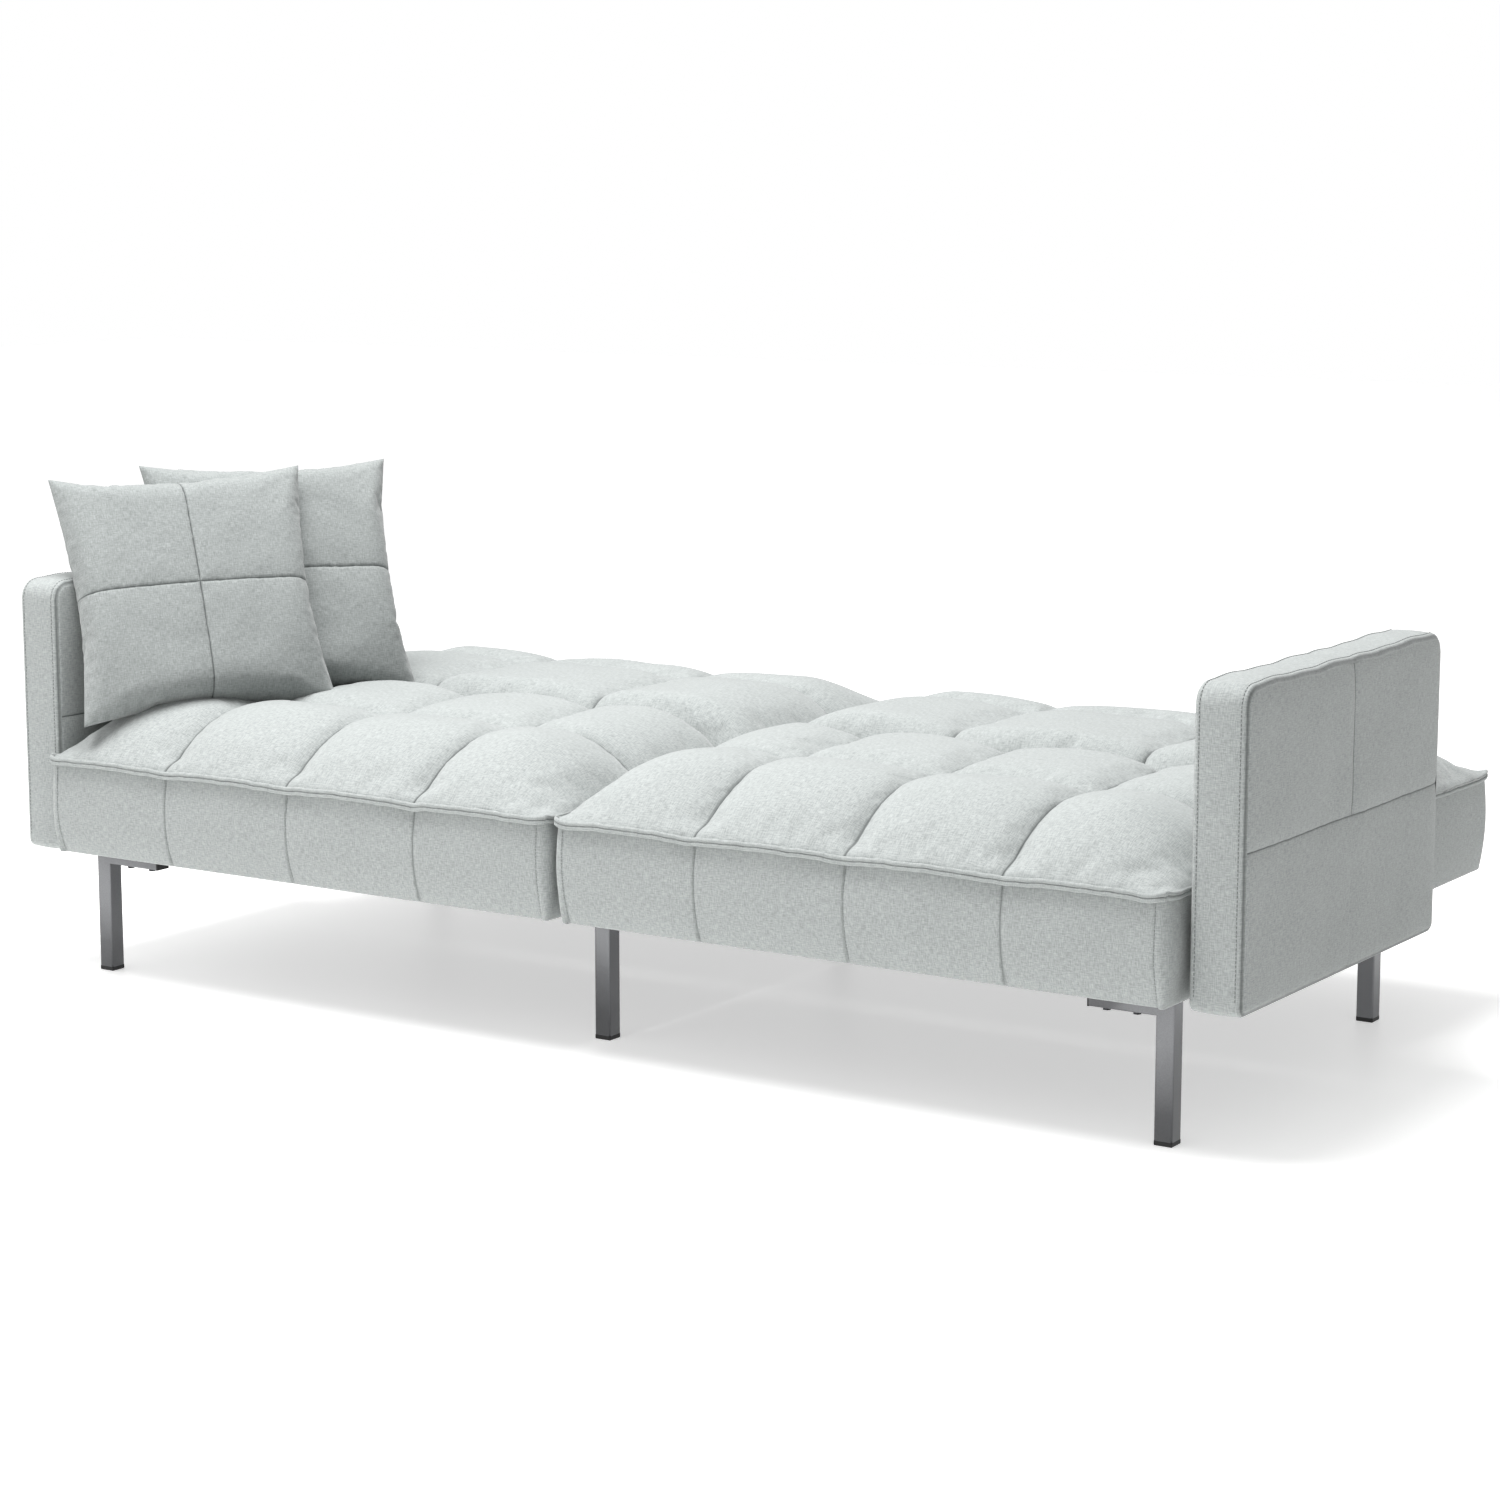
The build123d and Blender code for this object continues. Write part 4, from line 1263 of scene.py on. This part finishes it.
# ---- steel legs and rails ------------------------------------------------------------------------
def tube_section(width: float, radius: float) -> Array:
    """Outline of a square tube with rounded corners, with a support point beside each end of an arc."""
    rows = []
    for quarter in range(4):
        angle = np.linspace(0, math.pi / 2, 6) + quarter * math.pi / 2
        out = np.stack([np.cos(angle), np.sin(angle)], axis=1)
        beside = np.stack([-np.sin(angle), np.cos(angle)], axis=1) * radius / 2
        arc = np.sign(out.mean(axis=0)) * (width / 2 - radius) + radius * out
        rows += [arc[:1] - beside[:1], arc, arc[-1:] + beside[-1:]]
    return np.vstack(rows)


@dataclass
class TubeRun:
    """A straight or mitred run of powder-coated square tube that stands for a leg or rail of the frame.

    Each end of a bend has support points a little way off, so that the shading stays flat up to it.
    """

    node: str
    width: float = 0.025
    radius: float = 0.0025
    support: float = 0.0004

    def straight(self) -> Piece:
        """Tube along its box's longest side."""
        low, high = (np.array(corner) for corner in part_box(self.node))
        axis = int(np.argmax(high - low))
        section = tube_section(self.width, self.radius)
        points = np.zeros((4, len(section), 3))
        points[..., axis] = np.array([low[axis], low[axis] + MM, high[axis] - MM, high[axis]])[:, None]
        for k, other in enumerate([(axis + 1) % 3, (axis + 2) % 3]):
            points[..., other] = (low[other] + high[other]) / 2 + section[None, :, k]
        return self.closed(points)

    def bent(self) -> Piece:
        """Post with a mitred arm.

        The section (a, b) stands at (x + a, y + b) up the post, meets the arm on the sloping plane
        z = centre - a, and runs along the arm at (y + b, centre - a).

        Returns:
            The new piece.
        """
        low, high = (np.array(corner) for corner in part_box(self.node))
        corners = np.array([vertex.co for vertex in frame["nodes"][self.node].data.vertices])
        foot = corners[corners[:, 2] < low[2] + 2 * MM]
        x, y = (foot[:, :2].min(axis=0) + foot[:, :2].max(axis=0)) / 2
        towards, end = (1.0, high[0]) if high[0] - x > x - low[0] else (-1.0, low[0])
        a, b = tube_section(self.width, self.radius).T
        top = high[2] - self.width / 2 - a
        stations = (
            (x + a * towards, low[2]),
            (x + a * towards, top - self.support),
            (x + a * towards, top),
            (x + (a + self.support) * towards, top),
            (end, top),
        )
        return self.closed(np.stack([paired(at, y + b, height) for at, height in stations]))

    def closed(self, points: Array) -> Piece:
        """Close both ends of the run and give it outward faces."""
        name = self.node.replace("rear_cross", "cross")
        shell = Shell(name if name.startswith("cross") else f"tube_{name}")
        shell.grid(points, points[..., :2], close_v=True)
        shell.fan(points[0], flip=True)
        shell.fan(points[-1])
        piece = shell.build()
        work = bmesh.new()
        work.from_mesh(piece.data)
        bmesh.ops.recalc_face_normals(work, faces=work.faces)
        work.to_mesh(piece.data)
        work.free()
        return piece

    def make(self) -> None:
        """Build the run that the node's shape asks for."""
        piece = self.bent() if self.node.startswith("leg_front") else self.straight()
        dress(piece, Finish.TUBE, "chassis", (self.node,))


# ---- stage ---------------------------------------------------------------------------------------
@dataclass
class Studio:
    """Pale floor, white surroundings, soft lights and the camera.

    The camera stands at eye, turned by yaw about Z and pitched down by pitch, in degrees.
    """

    eye: tuple[float, float, float] = (2.6796, -4.1307, 1.1648)
    yaw: float = 33.136
    pitch: float = 9.449
    lens: float = 84.15
    shade_side: tuple[float, float, float] = (0.8, 0.6, 0.0)

    def floor(self) -> None:
        """Level square sheet."""
        along = np.linspace(-14, 14, 9)
        points = paired(along[:, None], along[None], 0.0)
        shell = Shell("studio_floor")
        shell.grid(points, points[..., :2])
        piece = shell.build(merge=0)
        paper = FineGrain("studio_paper", "ececeb", "efefee", 0.42, grain_mm=3.0, glow=0.50)
        piece.data.materials.append(paper.make())

    def lights(self) -> None:
        """Soft surroundings that darken towards +X and +Y, a large lamp overhead and a weak one in front."""
        world = bpy.data.worlds.new("studio_air")
        bpy.context.scene.world = world
        world.use_nodes = True
        tree = world.node_tree
        way = add_node(tree, "ShaderNodeTexCoord").outputs["Generated"]
        right = add_node(tree, "ShaderNodeVectorMath", {0: way, 1: self.shade_side}, operation="DOT_PRODUCT")
        turned = {"Value": right.outputs["Value"], "From Min": -0.2, "From Max": 0.7}
        fall = add_node(tree, "ShaderNodeMapRange", {**turned, "To Min": 0.8, "To Max": 0.2})
        seen = add_node(tree, "ShaderNodeLightPath").outputs["Is Camera Ray"]
        power = add_node(tree, "ShaderNodeMath", {0: fall.outputs["Result"], 1: seen}, operation="MAXIMUM")
        air = tree.nodes["Background"]
        air.inputs["Color"].default_value = (1.0, 1.0, 1.0, 1.0)
        tree.links.new(power.outputs["Value"], air.inputs["Strength"])
        for name, place, aim, size, power in (
            ("overhead", (-0.5, -0.6, 3.7), (0.0, -0.2, 0.3), 2.6, 240.0),
            ("front_fill", (-2.6, -4.4, 1.6), (0.0, 0.0, 0.3), 2.0, 6.0),
        ):
            lamp = bpy.data.lights.new(name, "AREA")
            lamp.shape = "DISK"
            lamp.size = size
            lamp.energy = power
            light = bpy.data.objects.new(name, lamp)
            light.location = place
            light.rotation_euler = (Vector(aim) - Vector(place)).to_track_quat("-Z", "Y").to_euler()
            bpy.context.scene.collection.objects.link(light)

    def camera(self) -> None:
        """Camera at the eye, turned by yaw about Z and pitched down."""
        data = bpy.data.cameras.new("camera")
        data.sensor_width = 36.0
        data.lens = self.lens
        eye = bpy.data.objects.new("camera", data)
        yaw = Matrix.Rotation(math.radians(self.yaw), 4, "Z")
        pitch = Matrix.Rotation(math.radians(90 - self.pitch), 4, "X")
        eye.matrix_world = Matrix.Translation(self.eye) @ yaw @ pitch
        bpy.context.scene.collection.objects.link(eye)
        bpy.context.scene.camera = eye

    def make(self) -> None:
        """Build the stage."""
        self.camera()
        self.floor()
        self.lights()
        bpy.context.scene.view_settings.view_transform = "Standard"


# ---- the whole -----------------------------------------------------------------------------------
def dress_frame_nodes() -> None:
    """Give every CAD node that stays in view the finish of its material slot."""
    slots = {part["node"]: part["material_slot"] for part in frame["record"]["subparts"]}
    finishes = {finish.slot_name: finish for finish in Finish if finish is not Finish.THREAD}
    for name, node in frame["nodes"].items():
        if node.hide_render:
            continue
        finish = finishes[slots[name]]
        node.data.materials.clear()
        node.data.materials.append(finish.material())
        LOG.info("%-26s dressed as %s", name, finish.slot_name)


def block_on(node: str, body: str, seam: float, overhang: float, **shape: object) -> TuftedBlock:
    """Tufted block that fits its CAD node's box.

    Args:
        node: CAD node of the cushion.
        body: CAD body it rides on.
        seam: distance of the row seam behind the box's near face.
        overhang: how far the crown's near edge stands in front of that face.
        shape: the block's other measures.

    Returns:
        The block, not yet built.
    """
    low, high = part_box(node)
    return TuftedBlock(
        node=node,
        body=body,
        row_seam=low.y + seam,
        near=low.y - overhang,
        far=high.y - REAR_GAP,
        low_x=low.x + END_GAP,
        high_x=high.x - END_GAP,
        bottom=low.z,
        **shape,
    )


def seat_block(side: str) -> TuftedBlock:
    """Seat half: four columns and two rows."""
    return block_on(f"seat_cushion_{side}", "chassis", 0.2425, 0.001, columns=4)


def back_block(side: str) -> TuftedBlock:
    """Back half: three columns and two rows, its lower near edge rounded to clear the frame as it turns."""
    return block_on(
        f"back_cushion_{side}",
        f"back_{side}",
        0.281,
        0.0065,
        columns=3,
        near_roll=FULL_ROLL,
        far_roll=LONG_SLOPE,
        tuck_near=0.005,
        tuck_far=0.013,
        under_radius=0.060,
        ceiling=0.237,
    )


def main() -> None:
    """Build the stage, then every piece in order."""
    Studio().make()
    for side, sign in (("left", -1), ("right", 1)):
        seat_block(side).make()
        back_block(side).make()
        PanelArm(side, sign).make()
    LoosePillow("front", shift=(-0.003, 0.0, -0.014), turn=0.03).make()
    LoosePillow("rear", shift=(0.015, 0.0, -0.010)).make()
    for node in sorted(frame["nodes"]):
        if node.startswith(("leg_front", "leg_rear", "rail_", "rear_cross")):
            TubeRun(node).make()
    dress_frame_nodes()


if __name__ == "__main__":
    main()
